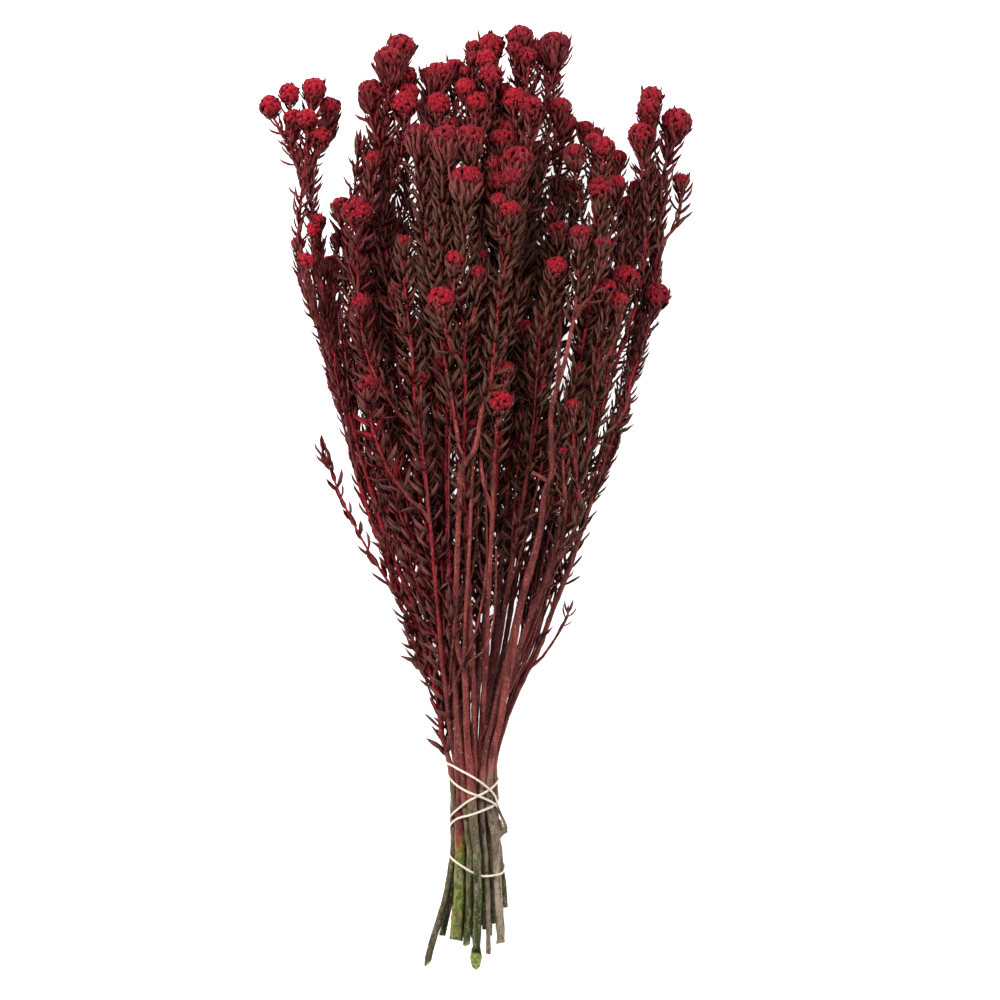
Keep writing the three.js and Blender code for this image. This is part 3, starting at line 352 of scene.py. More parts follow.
# The nearest of a stem's shoots that a side shoot can grow from, and where on it
def forkFrom(own, x, y, z, headRadius, forkY):
    best = None
    for parent in own:
        at = min(y - bunch["forkDrop"], parent.tipY - parent.headRadius - bunch["forkRoom"] / 2)
        if at < parent.rootY + bunch["forkRoom"]:
            continue
        px, pz = parent.centreAt(at)
        aside = math.hypot(x - px, z - pz)
        drop = bunch["forkDrop"] + headRadius + bunch["forkSlope"] * aside
        rootY = forkY if forkY is not None else min(
            y - drop, parent.tipY - parent.headRadius * bunch["headNeck"] - 8)
        if rootY < parent.rootY + bunch["forkRoom"]:
            continue
        if best is None or aside < best[0]:
            best = (aside, parent, rootY)
        if forkY is not None:
            break
    return best[1], best[2]


def sideShoot(node, own, stem, x, y, z, headRadius, turn, forkY=None, isTwig=False):
    parent, rootY = forkFrom(own, x, y, z, headRadius, forkY)
    rootX, rootZ = parent.centreAt(rootY)
    px, pz = parent.centreAt(min(rootY + 10, parent.tipY))

    def place(at):
        s = fadeIn(at, rootY, y - headRadius)
        part, lean = 1 - (1 - s) ** 2, 4 * s * (1 - s) ** 2
        return (rootX + (x - rootX) * part + (px - rootX) * lean,
                rootZ + (z - rootZ) * part + (pz - rootZ) * lean)
    return Shoot(node, parent, rootY, place, y, headRadius, turn, max(rootY + 8, stem["bareTo"]),
                 bunch["twigRadius"], isTwig)


def makeShoots():
    shoots = []
    for node, stem in enumerate(stems):
        leader, *others = stem["heads"]
        knots = [stem["end"], [stem["tie"][0], bunch["tieY"], stem["tie"][1]], *stem["via"], leader[:3]]
        own = [Shoot(node, None, stem["end"][1], lambda y: alongKnots(knots, y), leader[1], leader[3],
                     leader[4], stem["bareTo"], stem["radius"])]
        for head in others:
            own.append(sideShoot(node, own, stem, *head))
        for x, y, z, rootY in stem.get("twigs", []):
            own.append(sideShoot(node, own, stem, x, y, z, bunch["twigTip"], 0, rootY, True))
        shoots += own
    return shoots


# Shoots of different stems are moved apart, slice by slice, mostly in depth
def settle(shoots):
    spots = np.concatenate([shoot.spots for shoot in shoots])
    radius = np.concatenate([shoot.reach for shoot in shoots])
    node = np.concatenate([np.full(len(shoot.spots), shoot.node) for shoot in shoots])
    slot = np.concatenate([np.arange(len(shoot.spots)) + shoot.first for shoot in shoots])
    starts = np.cumsum([0] + [len(shoot.spots) for shoot in shoots])
    index = np.arange(len(spots))
    below, above = index - 1, index + 1
    below[starts[:-1]] = starts[:-1]
    above[starts[1:] - 1] = starts[1:] - 1
    slices = [index[slot == k] for k in range(slot.min(), slot.max() + 1)]
    a, b = np.concatenate([rows[np.array(np.triu_indices(len(rows), 1))] for rows in slices], axis=1)
    together = node[a] == node[b]
    touching = radius[a] + radius[b]
    wanted = np.where(together, bunch["ownSpacing"] * touching, touching + bunch["clearance"])
    push = np.where(together, bunch["ownPush"], bunch["otherPush"])
    isTied = np.abs(slot * bunch["sliceStep"] - bunch["tieY"] + 12) < bunch["tieReach"]
    lowest = np.where(isTied, radius + bunch["tieRoom"], radius * (1 - bunch["floorPress"]))
    order = {id(shoot): i for i, shoot in enumerate(shoots)}
    joins = [(starts[i], starts[order[id(s.parent)]] + min(s.first - s.parent.first, len(s.parent.spots) - 1))
             for i, s in enumerate(shoots) if s.parent]
    moved = np.zeros_like(spots)
    for _ in range(bunch["settleRounds"]):
        apart = (spots + moved)[b] - (spots + moved)[a]
        distance = np.hypot(apart[:, 0], apart[:, 1]) + 1e-6
        share = np.where(distance < wanted, push * (wanted - distance) / distance, 0.0)[:, None] * apart
        pushed = np.stack([np.bincount(b, share[:, k], len(spots)) - np.bincount(a, share[:, k], len(spots))
                           for k in (0, 1)], axis=1)
        before = moved + pushed * (bunch["sidewaysShare"], 1.0)
        moved = before * 0.5 + (before[below] + before[above]) * 0.25
        moved[:, 1] = np.maximum(moved[:, 1], lowest - spots[:, 1])
        for child, parent in joins:
            moved[child] = moved[parent]
    for i, shoot in enumerate(shoots):
        shoot.spots = (spots + moved)[starts[i]:starts[i + 1]]


shoots = makeShoots()
settle(shoots)
print("bunch laid out:", len(shoots), "shoots on", len(stems), "stems")


def shootsOf(node):
    return [shoot for shoot in shoots if shoot.node == node]


for shoot in shootsOf(gathered["node"])[2:]:
    shoot.isGathered = True
    shoot.headRadius *= 1 + gathered["headGrowth"] * fadeIn(
        shoot.headRadius, gathered["grownFrom"], gathered["grownTo"])
for (node, rank), crook in sideCrooks.items():
    shootsOf(node)[rank].crook = crook
for shoot in shoots:
    if shoot.isTwig:  # the bare one on the right leans straight out, and so does the leafy one on the left
        share = np.linspace(0, 1, len(shoot.spots))[:, None]
        straight = shoot.spots[0] * (1 - share) + shoot.spots[-1] * share
        shoot.spots = straight + (shoot.spots - straight) * drawing["outerTwigBend"]

# Thin twigs, too fine for the solids, that fill the bunch between its stems
fineTwigs = {
    "count": 9, "edgeCount": 14, "underCount": 20, "lowest": -150.0, "highest": 165.0, "liftRight": 70.0,
    "liftRightUnder": 45.0, "length": (60.0, 120.0), "aside": (5.0, 13.0), "asideUnder": 1.5, "depth": 0.8,
    "bare": (0.15, 0.5), "bareLow": 0.45, "bareMost": 0.9, "behindFront": 5.0, "bow": 1.6, "radius": 0.75,
    "lowLeftShare": 0.35, "lowLeftTop": -50.0, "topRoom": 30.0, "lowestZ": 2.0, "seed": 12,
    "gapUsual": [0.22, 1.5],  # how much of a twig in a single place is bare, and how far it bows
}
edgeStems = (0, 1, 2, 11, 12, 13, 15, 20)
firstUnder = 20  # this stem and the later ones lie underneath
frontStems = (10, 13, 14, 16, 18)  # nothing fine grows in front of these
inwards = {0: 1, 1: 1, 11: -1, 12: -1}  # and these have it towards the middle only


def addTwig(main, rootY, place, tipY, bareTo):
    twig = Shoot(main.node, main, rootY, place, tipY, bunch["twigTip"], 0, bareTo, fineTwigs["radius"], True)
    twig.isFine, twig.blend = True, drawing["blend"]
    shoots.append(twig)


def addFineTwigs(main):
    inRight, isUnder = fadeIn(main.centreAt(-60)[0], -28, -8), main.node >= firstUnder
    count = fineTwigs["underCount" if main.node > firstUnder else "edgeCount" if main.node in edgeStems else "count"]
    lowest = fineTwigs["lowest"] + fineTwigs["liftRightUnder" if isUnder else "liftRight"] * inRight
    for rank in range(count):
        rootY = lowest + (fineTwigs["highest"] - lowest) * (rank + chance.random()) / count
        length = chance.uniform(*fineTwigs["length"])
        turn = chance.uniform(0, 2 * math.pi)
        aside = chance.uniform(*fineTwigs["aside"]) * (fineTwigs["asideUnder"] if isUnder else 1) * np.array(
            [math.cos(turn), fineTwigs["depth"] * math.sin(turn)])
        bare = chance.uniform(*fineTwigs["bare"]) + fineTwigs["bareLow"] * inRight * fadeIn(rootY, 20, -60)
        if main.node in frontStems:
            aside[1] = -fineTwigs["behindFront"] - abs(aside[1])
        if main.node in inwards:
            aside[0] = abs(aside[0]) * inwards[main.node] * (0.55 if main.node == 0 and rootY > 90 else 1)
        tipX, tipY = main.centreAt(rootY + length)[0] + aside[0], rootY + length
        isOpen = 36 < tipX < 58 and tipY > 185 or tipX < -76 and tipY > 175  # gaps in the top edge
        isLowLeft = main.node < 8 and rootY < fineTwigs["lowLeftTop"]
        if main.tipY < tipY + fineTwigs["topRoom"] or isOpen or (
                isLowLeft and chance.random() > fineTwigs["lowLeftShare"]):
            continue

        def place(y):
            part = fadeIn(y, rootY, rootY + length)
            spot = main.centreAt(y) + aside * (1 - (1 - part) ** fineTwigs["bow"])
            return spot[0], max(spot[1], fineTwigs["lowestZ"])
        addTwig(main, rootY, place, tipY, rootY + length * min(bare, fineTwigs["bareMost"]))


# Twigs in single places, by stem: the height they part at, and their tip x, y and z. How much of them
# is bare and how far they bow is as usual, unless it is given too.
gapTwigs = {
    0: [(104, -107, 214, 60, 0.3), (30, -100, 132, 50), (66, -104, 158, 50), (60, -92, 120, 44)],
    1: [(-50, -76, 6, 42, 0.3, 1.0), (0, -84, 104, 46), (-16, -86, 76, 46), (-50, -72, 40, 40), (40, -80, 112, 44)],
    2: [(96, -66, 178, 46), (70, -62, 150, 50), (10, -66, 80, 44)],
    3: [(118, -47, 205, 50), (140, -46, 224, 46), (100, -46, 170, 44)], 5: [(104, -42, 186, 56)],
    8: [(84, 29, 160, 44)], 9: [(20, 36, 96, 40)],
    10: [(-109, 10.5, -30, 67, 1.0, 5.0), (-106, 4, -40, 63, 1.0, 2.0)],
    11: [(-128, 38, -84, 28, 0.8), (-140, 44, -50, 30, 0.85), (-120, 50, -30, 34, 0.85), (-118, 30, -58, 30, 0.8),
        (110, 112, 196, 56), (130, 108, 206, 60)],
    12: [(-140, 34, -66, 26, 0.8), (-150, 30, -70, 24, 0.85), (-145, 36, -60, 30, 0.85), (-125, 44, -56, 24, 0.85),
        (-120, 50, -50, 28, 0.85), (-112, 56, -40, 30, 0.8), (70, 106, 150, 46), (120, 116, 190, 52),
        (-24, 88, 46, 44)],
    13: [(-125, 36, -48, 36, 0.85), (-130, 28, -72, 34, 0.8), (0, 62, 68, 50)], 14: [(-31, 52, 28, 66, 0.35)],
    15: [(-124, 34, -52, 38, 0.8), (-135, 44, -40, 36, 0.85), (-112, 38, -30, 34, 0.8), (-104, 46, -34, 40, 0.8),
        (60, 92, 140, 44)],
    17: [(-133, -14, -56, 58, 1.0, 1.2), (-131, -8, -92, 52, 1.0, 1.2)], 19: [(10, 44, 78, 44)],
    20: [(84, -68, 160, 34), (60, -74, 140, 36), (20, -66, 90, 30)], 21: [(-90, -6, -10, 14)],
    22: [(66, 27, 176, 24), (-80, 6, 10, 16), (-90, 0, -20, 14)],
    23: [(70, 30, 150, 26), (92, 32, 186, 30), (-60, 20, 30, 18), (-90, 14, -10, 16)],
    24: [(-136, 42, -52, 26, 0.8), (-140, 36, -60, 22, 0.85), (-115, 46, -44, 24, 0.85), (-120, 52, -36, 28, 0.8),
        (-100, 47, -20, 30, 0.8), (70, 98, 156, 40), (96, 104, 182, 44), (-24, 84, 34, 34), (0, 94, 62, 36)],
}


def addGapTwigs(main):
    for rootY, x, y, z, *more in gapTwigs.get(main.node, []):
        bare, bow = more + fineTwigs["gapUsual"][len(more):]
        rootX, rootZ = main.centreAt(rootY)

        def place(at):
            part = 1 - (1 - fadeIn(at, rootY, y)) ** bow
            return rootX + (x - rootX) * part, max(rootZ + (z - rootZ) * part, fineTwigs["lowestZ"])
        addTwig(main, rootY, place, y, rootY + bare * (y - rootY))


chance = np.random.default_rng(fineTwigs["seed"])
for grow in (addFineTwigs, addGapTwigs):
    for main in [shoot for shoot in shoots if not shoot.parent]:
        grow(main)
print("fine twigs added:", len(shoots), "shoots")


# Helpers for node trees and meshes
def rgb(*colour):
    return (*((c / 255 / 12.92) if c <= 10 else ((c / 255 + 0.055) / 1.055) ** 2.4 for c in colour), 1.0)


def grey(value):
    return (value, value, value, 1.0)


def addNode(tree, kind, inputs=None, **settings):
    node = tree.nodes.new(kind)
    for key, value in settings.items():
        setattr(node, key, value)
    for key, value in (inputs or {}).items():
        if isinstance(value, bpy.types.NodeSocket):
            tree.links.new(value, node.inputs[key])
        else:
            node.inputs[key].default_value = value
    return node


def maths(tree, operation, *values):
    return addNode(tree, "ShaderNodeMath", dict(enumerate(values)), operation=operation).outputs[0]


def scaled(tree, vector, share):
    return addNode(tree, "ShaderNodeVectorMath", {0: vector, "Scale": share}, operation="SCALE").outputs[0]


def makeTree(name, sockets):
    tree = bpy.data.node_groups.new(name, "GeometryNodeTree")
    for label, kind in [("Geometry", "Geometry"), *sockets]:
        tree.interface.new_socket(label, in_out="INPUT", socket_type="NodeSocket" + kind)
    tree.interface.new_socket("Geometry", in_out="OUTPUT", socket_type="NodeSocketGeometry")
    return tree, addNode(tree, "NodeGroupInput").outputs


def readAttribute(tree, name, kind="FLOAT"):
    node = addNode(tree, "GeometryNodeInputNamedAttribute", {"Name": name}, data_type=kind)
    return next(out for out in node.outputs if out.enabled and out.name == "Attribute")


def finishTree(tree, geometry, finish):
    smooth = addNode(tree, "GeometryNodeSetShadeSmooth", {"Geometry": geometry})
    real = addNode(tree, "GeometryNodeRealizeInstances", {"Geometry": smooth.outputs[0]})
    dressed = addNode(tree, "GeometryNodeSetMaterial", {"Geometry": real.outputs[0], "Material": finish})
    addNode(tree, "NodeGroupOutput", {0: dressed.outputs[0]})
    return tree


# Stands a shape on every point, its length along the point's aim and its inner side towards inner.
# A point's kind, 0, 1 or 2, says which of the three shapes it takes.
shapeLabels = ("Shape", "Second shape", "Third shape")


def scatterTree():
    tree, given = makeTree("scatter_along_shoots", [
        *((label, "Object") for label in shapeLabels), ("Length", "Float"), ("Width", "Float"),
        ("Size spread", "Float"), ("Seed", "Int"), ("Finish", "Material")])
    turn = addNode(tree, "FunctionNodeAxesToRotation", {
        "Primary Axis": readAttribute(tree, "aim", "FLOAT_VECTOR"),
        "Secondary Axis": readAttribute(tree, "inner", "FLOAT_VECTOR")}, primary_axis="Y", secondary_axis="Z")
    grown = addNode(tree, "FunctionNodeRandomValue", {
        "Min": maths(tree, "SUBTRACT", 1.0, given["Size spread"]),
        "Max": maths(tree, "ADD", 1.0, given["Size spread"]), "Seed": given["Seed"]}, data_type="FLOAT")
    size = maths(tree, "MULTIPLY", next(out for out in grown.outputs if out.enabled), readAttribute(tree, "size"))
    sides = addNode(tree, "ShaderNodeCombineXYZ", {
        "X": maths(tree, "MULTIPLY", given["Width"], readAttribute(tree, "wide")), "Y": given["Length"],
        "Z": given["Width"]})
    scale = scaled(tree, sides.outputs[0], size)
    joined = addNode(tree, "GeometryNodeJoinGeometry")
    for kind, label in enumerate(shapeLabels):
        shape = addNode(tree, "GeometryNodeObjectInfo", {"Object": given[label]})
        chosen = addNode(tree, "FunctionNodeCompare", {
            "A": readAttribute(tree, "kind"), "B": float(kind), "Epsilon": 0.1}, operation="EQUAL")
        placed = addNode(tree, "GeometryNodeInstanceOnPoints", {
            "Points": given["Geometry"], "Selection": chosen.outputs[0], "Instance": shape.outputs["Geometry"],
            "Rotation": turn.outputs[0], "Scale": scale})
        tree.links.new(placed.outputs[0], joined.inputs[0])
    return finishTree(tree, joined.outputs[0], given["Finish"])


# Draws a round bar along every path, with a bark relief
def barTree():
    tree, given = makeTree("bars_along_paths", [
        ("Sides", "Int"), ("Relief", "Float"), ("Relief scale", "Float"), ("Finish", "Material")])
    paths = addNode(tree, "GeometryNodeMeshToCurve", {"Mesh": given["Geometry"]})
    thick = readAttribute(tree, "thick")
    sized = addNode(tree, "GeometryNodeSetCurveRadius", {"Curve": paths.outputs[0], "Radius": thick})
    circle = addNode(tree, "GeometryNodeCurvePrimitiveCircle", {"Resolution": given["Sides"], "Radius": 1.0})
    bars = addNode(tree, "GeometryNodeCurveToMesh", {
        "Curve": sized.outputs[0], "Profile Curve": circle.outputs[0], "Scale": thick, "Fill Caps": True})
    grain = addNode(tree, "ShaderNodeTexNoise", {"Scale": given["Relief scale"], "Detail": 2.0,
                    "Vector": addNode(tree, "GeometryNodeInputPosition").outputs[0]})
    height = maths(tree, "MULTIPLY", maths(tree, "SUBTRACT", grain.outputs[0], 0.5), given["Relief"])
    rough = addNode(tree, "GeometryNodeSetPosition", {
        "Geometry": bars.outputs[0],
        "Offset": scaled(tree, addNode(tree, "GeometryNodeInputNormal").outputs[0], height)})
    return finishTree(tree, rough.outputs[0], given["Finish"])


floorGap = 0.0001  # what reaches the floor lies flat this high over it


# Lays a mesh's lowest vertices on the floor, after fit has moved what it moves
def layDown(mesh, fit=None):
    spots = np.empty(len(mesh.vertices) * 3)
    mesh.vertices.foreach_get("co", spots)
    spots = spots.reshape(-1, 3)
    if fit:
        fit(spots)
    spots[:, 2] = np.maximum(spots[:, 2], floorGap)
    mesh.vertices.foreach_set("co", spots.ravel())


def carry(mesh, label, values):
    values = np.asarray(values, dtype=float)
    isVector = values.ndim == 2
    layer = mesh.attributes.new(label, "FLOAT_VECTOR" if isVector else "FLOAT", "POINT")
    layer.data.foreach_set("vector" if isVector else "value", values.ravel())


# A mesh of loose points or paths, with what each point carries
def carrierMesh(name, points, carried, edges=()):
    mesh = bpy.data.meshes.new(name)
    mesh.from_pydata((np.asarray(points) * mm).tolist(), list(edges), [])
    for label, values in carried.items():
        carry(mesh, label, values)
    return mesh


# Runs a tree on a carrier and keeps the result as a plain mesh
def growPiece(name, mesh, tree, settings):
    carrier = bpy.data.objects.new(name, mesh)
    scene.collection.objects.link(carrier)
    modifier = carrier.modifiers.new(tree.name, "NODES")
    modifier.node_group = tree
    for item in tree.interface.items_tree:
        if item.in_out == "INPUT" and item.name in settings:
            modifier[item.identifier] = settings[item.name]
    view = bpy.context.evaluated_depsgraph_get()
    grown = bpy.data.meshes.new_from_object(carrier.evaluated_get(view), depsgraph=view)
    carrier.modifiers.remove(modifier)
    carrier.data = grown
    grown.name = name
    layDown(grown)
    bpy.data.meshes.remove(mesh)
    return carrier


def shapeObject(name, vertices, faces, carried):
    mesh = bpy.data.meshes.new(name)
    mesh.from_pydata(vertices, [], faces)
    for label, values in carried.items():
        carry(mesh, label, values)
    shape = bpy.data.objects.new(name, mesh)
    scene.collection.objects.link(shape)
    return shape


# The walls between two rings of count vertices that start at first
def wallFaces(first, count):
    for i in range(count):
        a, b = first + i, first + (i + 1) % count
        yield a, b, b + count, a + count


# A blade, one wide and one long: its keel outside, its inner side towards +Z and folded unless it is flat
def bladeShape(name, widths, fold, bulge, curl, isFlat=False):
    vertices, inside, along = [], [], []
    sides = 3 if isFlat else 4
    for t, half in widths:
        z = -bulge * 4 * t * (1 - t) + curl * t * t
        share = min(1, half / 0.3)
        ring = [(-half, t, z + fold * half), (0, t, z - 0.17 * share), (half, t, z + fold * half),
                (0, t, z - 0.01 * share)]
        vertices += ring[:sides]
        inside += [0.5, 0.0, 0.5, 1.0][:sides]
        along += [t] * sides
    vertices.append((0, 1.0, curl))
    faces = [tuple(reversed(range(sides)))]
    last = (len(widths) - 1) * sides
    for first in range(0, last, sides):
        faces += wallFaces(first, sides)
    faces += [(last + i, last + (i + 1) % sides, len(vertices) - 1) for i in range(sides)]
    return shapeObject(name, vertices, faces, {"inside": [*inside, 0.45], "along": [*along, 1.0]})


# A floret: a small lobed bead, one wide and one long
def beadShape(name, rings, top, bottom, lobe, ripple=0.06, count=6):
    vertices, along = [(0, bottom, 0)], [0.0]
    for row, (height, width) in enumerate(rings):
        for i in range(count):
            angle = 2 * math.pi * (i + 0.5 * (row % 2)) / count
            r = width * (1 + (lobe if i % 2 else -lobe))
            vertices.append((r * math.cos(angle), height + (ripple if i % 2 else -ripple), r * math.sin(angle)))
            along.append((row + 1) / (len(rings) + 1))
    vertices.append((0, top, 0))
    faces = [(0, 1 + i, 1 + (i + 1) % count) for i in range(count)]
    last = 1 + (len(rings) - 1) * count
    for first in range(1, last, count):
        for a, b, aboveB, aboveA in wallFaces(first, count):
            faces += [(a, aboveA, b), (b, aboveA, aboveB)]
    faces += [(last + i, len(vertices) - 1, last + (i + 1) % count) for i in range(count)]
    return shapeObject(name, vertices, faces, {"inside": [0.0] * len(vertices), "along": [*along, 1.0]})


def finishPiece(piece, slot, *nodes):
    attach(piece, "root")
    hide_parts(*nodes)
    return piece


# Helpers for the finishes
def newFinish(name, roughness, **constants):
    material = bpy.data.materials.new(name)
    material.use_nodes = True
    tree = material.node_tree
    shader = tree.nodes["Principled BSDF"]
    shader.inputs["Roughness"].default_value = roughness
    for label, value in constants.items():
        shader.inputs[label.replace("_", " ")].default_value = value
    return material, tree, shader


def blend(tree, factor, a, b, mode="MIX"):
    return addNode(tree, "ShaderNodeMix", {0: factor, 6: a, 7: b}, data_type="RGBA", blend_type=mode).outputs[2]


def ramp(tree, value, *stops):
    node = addNode(tree, "ShaderNodeValToRGB", {"Fac": value})
    line = node.color_ramp
    while len(line.elements) < len(stops):
        line.elements.new(1.0)
    for element, (position, colour) in zip(line.elements, stops):
        element.position, element.color = position, colour
    return node.outputs[0]


# A grey ramp from low at start to high at end
def mask(tree, value, start, end, low=0.0, high=1.0):
    return ramp(tree, value, (start, grey(low)), (end, grey(high)))


# Lays colours over a skin. A layer is how much of it shows and its colour, by name or as a socket, with
# a mask's numbers between them where it shows through one.
def cover(tree, colours, skin, *layers):
    def named(colour):
        return colours[colour] if isinstance(colour, str) else colour
    for value, *stops, colour in layers:
        skin = blend(tree, mask(tree, value, *stops) if stops else value, named(skin), named(colour))
    return skin


def speckle(tree, scale, detail=3.0, stretch=(1, 1, 1), roughness=0.6):
    place = addNode(tree, "ShaderNodeTexCoord").outputs["Object"]
    mapped = addNode(tree, "ShaderNodeMapping", {"Vector": place, "Scale": stretch})
    return addNode(tree, "ShaderNodeTexNoise", {
        "Vector": mapped.outputs[0], "Scale": scale, "Detail": detail, "Roughness": roughness}).outputs["Fac"]


def carriedValues(tree, *names):
    return [addNode(tree, "ShaderNodeAttribute", attribute_name=name).outputs["Fac"] for name in names]


def mapRange(tree, value, start, end):
    return addNode(tree, "ShaderNodeMapRange", {"Value": value, "From Min": start, "From Max": end}).outputs[0]


# Gives a finish its colour, and a bump from height
def colourFinish(tree, shader, colour, height, strength, distance):
    bump = addNode(tree, "ShaderNodeBump", {"Height": height, "Strength": strength, "Distance": distance})
    tree.links.new(colour, shader.inputs["Base Color"])
    tree.links.new(bump.outputs[0], shader.inputs["Normal"])


leafFinish = {
    "keel": rgb(152, 96, 86), "dusty": rgb(114, 72, 64), "dark": rgb(48, 22, 21), "olive": rgb(74, 66, 44),
    "redBack": rgb(118, 21, 32), "margin": rgb(138, 27, 37), "inner": rgb(222, 28, 54),
    "innerDull": rgb(100, 18, 27), "innerTip": rgb(80, 18, 25), "cup": rgb(134, 64, 62),
    "redCup": rgb(104, 18, 29), "rim": rgb(170, 14, 36), "roughness": 0.62, "shine": 0.22, "innerContrast": 3.5,
}


def leafMaterial(name, isBract=False):
    material, tree, shader = newFinish(name, leafFinish["roughness"], Specular_IOR_Level=leafFinish["shine"])
    inside, along, shade, green, red = carriedValues(tree, "inside", "along", "shade", "green", "red")
    if isBract:
        back = cover(tree, leafFinish, "cup", (shade, "dusty"), (red, "redCup"), (along, 0.78, 1.0, 0, 0.8, "rim"))
    else:
        # the keel is paler: partly its own colour, partly a painted highlight along the ridge
        back = cover(tree, leafFinish, "dusty", (shade, "dark"), (green, "olive"), (red, "redBack"),
                     (inside, 0, 0.15, 0.9, 0, "keel"))
    contrast = maths(tree, "POWER", shade, leafFinish["innerContrast"])
    inner = cover(tree, leafFinish, "innerDull", (contrast, "inner"), (along, "innerTip"))
    inner = cover(tree, leafFinish, "margin", (inside, 0.5, 0.8, inner))
    edge = ramp(tree, inside, (0.32, grey(0)), (0.5, grey(0.8)), (1.0, grey(1)))
    skin = cover(tree, leafFinish, back, (edge, inner), (along, 0, 0.2, 0.75, 0, "margin"))
    # painted shade: each leaf darkens towards its base, where it sits in against the stem
    skin = blend(tree, 1.0, skin, mask(tree, along, 0.05, 0.5, 0.42), "MULTIPLY")
    skin = blend(tree, 0.7, skin, mask(tree, speckle(tree, 420, 2.0), 0.3, 0.62, 0.5), "MULTIPLY")
    colourFinish(tree, shader, skin, speckle(tree, 900, 2.0, (1, 0.35, 1)), 0.5, 0.0003)
    return material


# the tip colour is a painted highlight, laid in pale flecks over the fuzz of the florets
floretFinish = {"bright": rgb(190, 8, 36), "deep": rgb(84, 4, 19), "pit": rgb(34, 3, 9), "tip": rgb(222, 44, 68),
                "roughness": 0.75, "shine": 0.25, "sheen": 0.12, "sheenTint": (1.0, 0.35, 0.4, 1.0)}


def floretMaterial():
    material, tree, shader = newFinish(
        "floret_crimson", floretFinish["roughness"], Specular_IOR_Level=floretFinish["shine"],
        Sheen_Weight=floretFinish["sheen"], Sheen_Roughness=0.4, Sheen_Tint=floretFinish["sheenTint"])
    along, shade = carriedValues(tree, "along", "shade")
    fuzz = speckle(tree, 1500, 3.0)
    # painted shade: each floret darkens to near black towards its foot, where it meets its neighbours, and in dark
    # flecks of its fuzz
    tone = cover(tree, floretFinish, "bright", (shade, "deep"), (along, 0.2, 0.6, 1, 0, "pit"),
                 (fuzz, 0.55, 0.72, 0, 0.8, "tip"), (fuzz, 0.3, 0.44, 0.85, 0, "pit"))
    colourFinish(tree, shader, tone, fuzz, 0.9, 0.0006)
    return material


barkFinish = {
    "dyed": rgb(166, 76, 70), "dyedDeep": rgb(88, 35, 35), "lenticel": rgb(214, 134, 112), "speck": rgb(46, 24, 23),
    "shoot": rgb(158, 28, 42), "dusk": rgb(80, 40, 38), "grey": rgb(172, 154, 130), "greyDeep": rgb(104, 90, 76),
    "moss": rgb(58, 68, 38), "paint": rgb(146, 146, 52), "fresh": rgb(80, 108, 38), "brown": rgb(122, 98, 84),
    "lichen": rgb(152, 144, 118), "shadow": rgb(40, 34, 28), "flake": rgb(136, 146, 58),
    "orange": rgb(160, 92, 56), "pink": rgb(150, 74, 72), "roughness": 0.78, "shine": 0.25,
}


def barkMaterial():
    material, tree, shader = newFinish("bark", barkFinish["roughness"], Specular_IOR_Level=barkFinish["shine"])
    place = addNode(tree, "ShaderNodeTexCoord").outputs["Object"]
    height = addNode(tree, "ShaderNodeSeparateXYZ", {0: place}).outputs["Y"]
    tone, leafy, dusk, dyeEnd = carriedValues(tree, "tone", "leafy", "dusk", "dyeEnd")
    streak, patch, spots, fine, lenticels, lichen, shadow, flake = (speckle(tree, *rule) for rule in (
        (260, 3.0, (1, 0.16, 1)), (110, 3.0, (1, 0.45, 1)), (340, 2.0, (1, 0.6, 1)), (1300, 2.0, (1, 0.6, 1)),
        (760, 1.0, (1, 0.7, 1)), (210, 4.0, (1, 0.3, 1), 0.75), (300, 4.0, (1, 0.45, 1), 0.75),
        (430, 3.0, (1, 0.5, 1))))
    # above the tie the dye, with dark specks and pale lenticels, darker on some stems: partly their own tone, partly
    # painted shade on the stems underneath
    dyed = cover(tree, barkFinish, "dyedDeep", (streak, 0.35, 0.65, "dyed"), (dusk, "dusk"), (leafy, "shoot"),
                 (fine, 0.47, 0.56, 0, 0.5, "speck"), (lenticels, 0.64, 0.7, 0, 0.45, "lenticel"))
    # below it the bare bark, from grey over moss to painted yellow-green, and still brown at its top
    unpainted = maths(tree, "MULTIPLY", mapRange(tree, height, -0.236, -0.2), mask(tree, tone, 0.7, 0.95, 0.85, 0))
    flakes = maths(tree, "MULTIPLY", mask(tree, flake, 0.56, 0.62, 0, 0.9), mask(tree, tone, 0.3, 0.6, 0, 0.8))
    painted = maths(tree, "MULTIPLY", mask(tree, tone, 0.55, 1.0), mask(tree, spots, 0.5, 0.6))
    bare = ramp(tree, tone, *((place, barkFinish[name]) for place, name in (
        (0.0, "grey"), (0.35, "greyDeep"), (0.6, "moss"), (0.95, "paint"))))
    bare = cover(tree, barkFinish, bare, (patch, 0.5, 0.6, 0, 0.55, "moss"), (streak, 0.5, 0.6, 0, 0.75, "greyDeep"),
                 (unpainted, "brown"), (lichen, 0.53, 0.6, 0, 0.75, "lichen"), (shadow, 0.35, 0.45, 0.85, 0, "shadow"),
                 (flakes, "flake"), (painted, "fresh"), (spots, 0.3, 0.38, 0.6, 0, "pink"),
                 (fine, 0.48, 0.6, 0, 0.5, "speck"))
    # the dye ends in a ragged rim
    ragged = maths(tree, "MULTIPLY_ADD", patch, -0.05, 0.025)
    level = maths(tree, "SUBTRACT", maths(tree, "SUBTRACT", height, ragged), dyeEnd)
    dye = mapRange(tree, level, -0.012, 0.006)
    rim = cover(tree, barkFinish, "pink", (tone, 0.6, 1.0, "orange"))
    skin = cover(tree, barkFinish, bare, (dye, 0, 0.5, 0, 0.8, rim), (dye, 0.5, 1.0, dyed))
    colourFinish(tree, shader, skin, fine, 0.9, 0.0008)
    return material


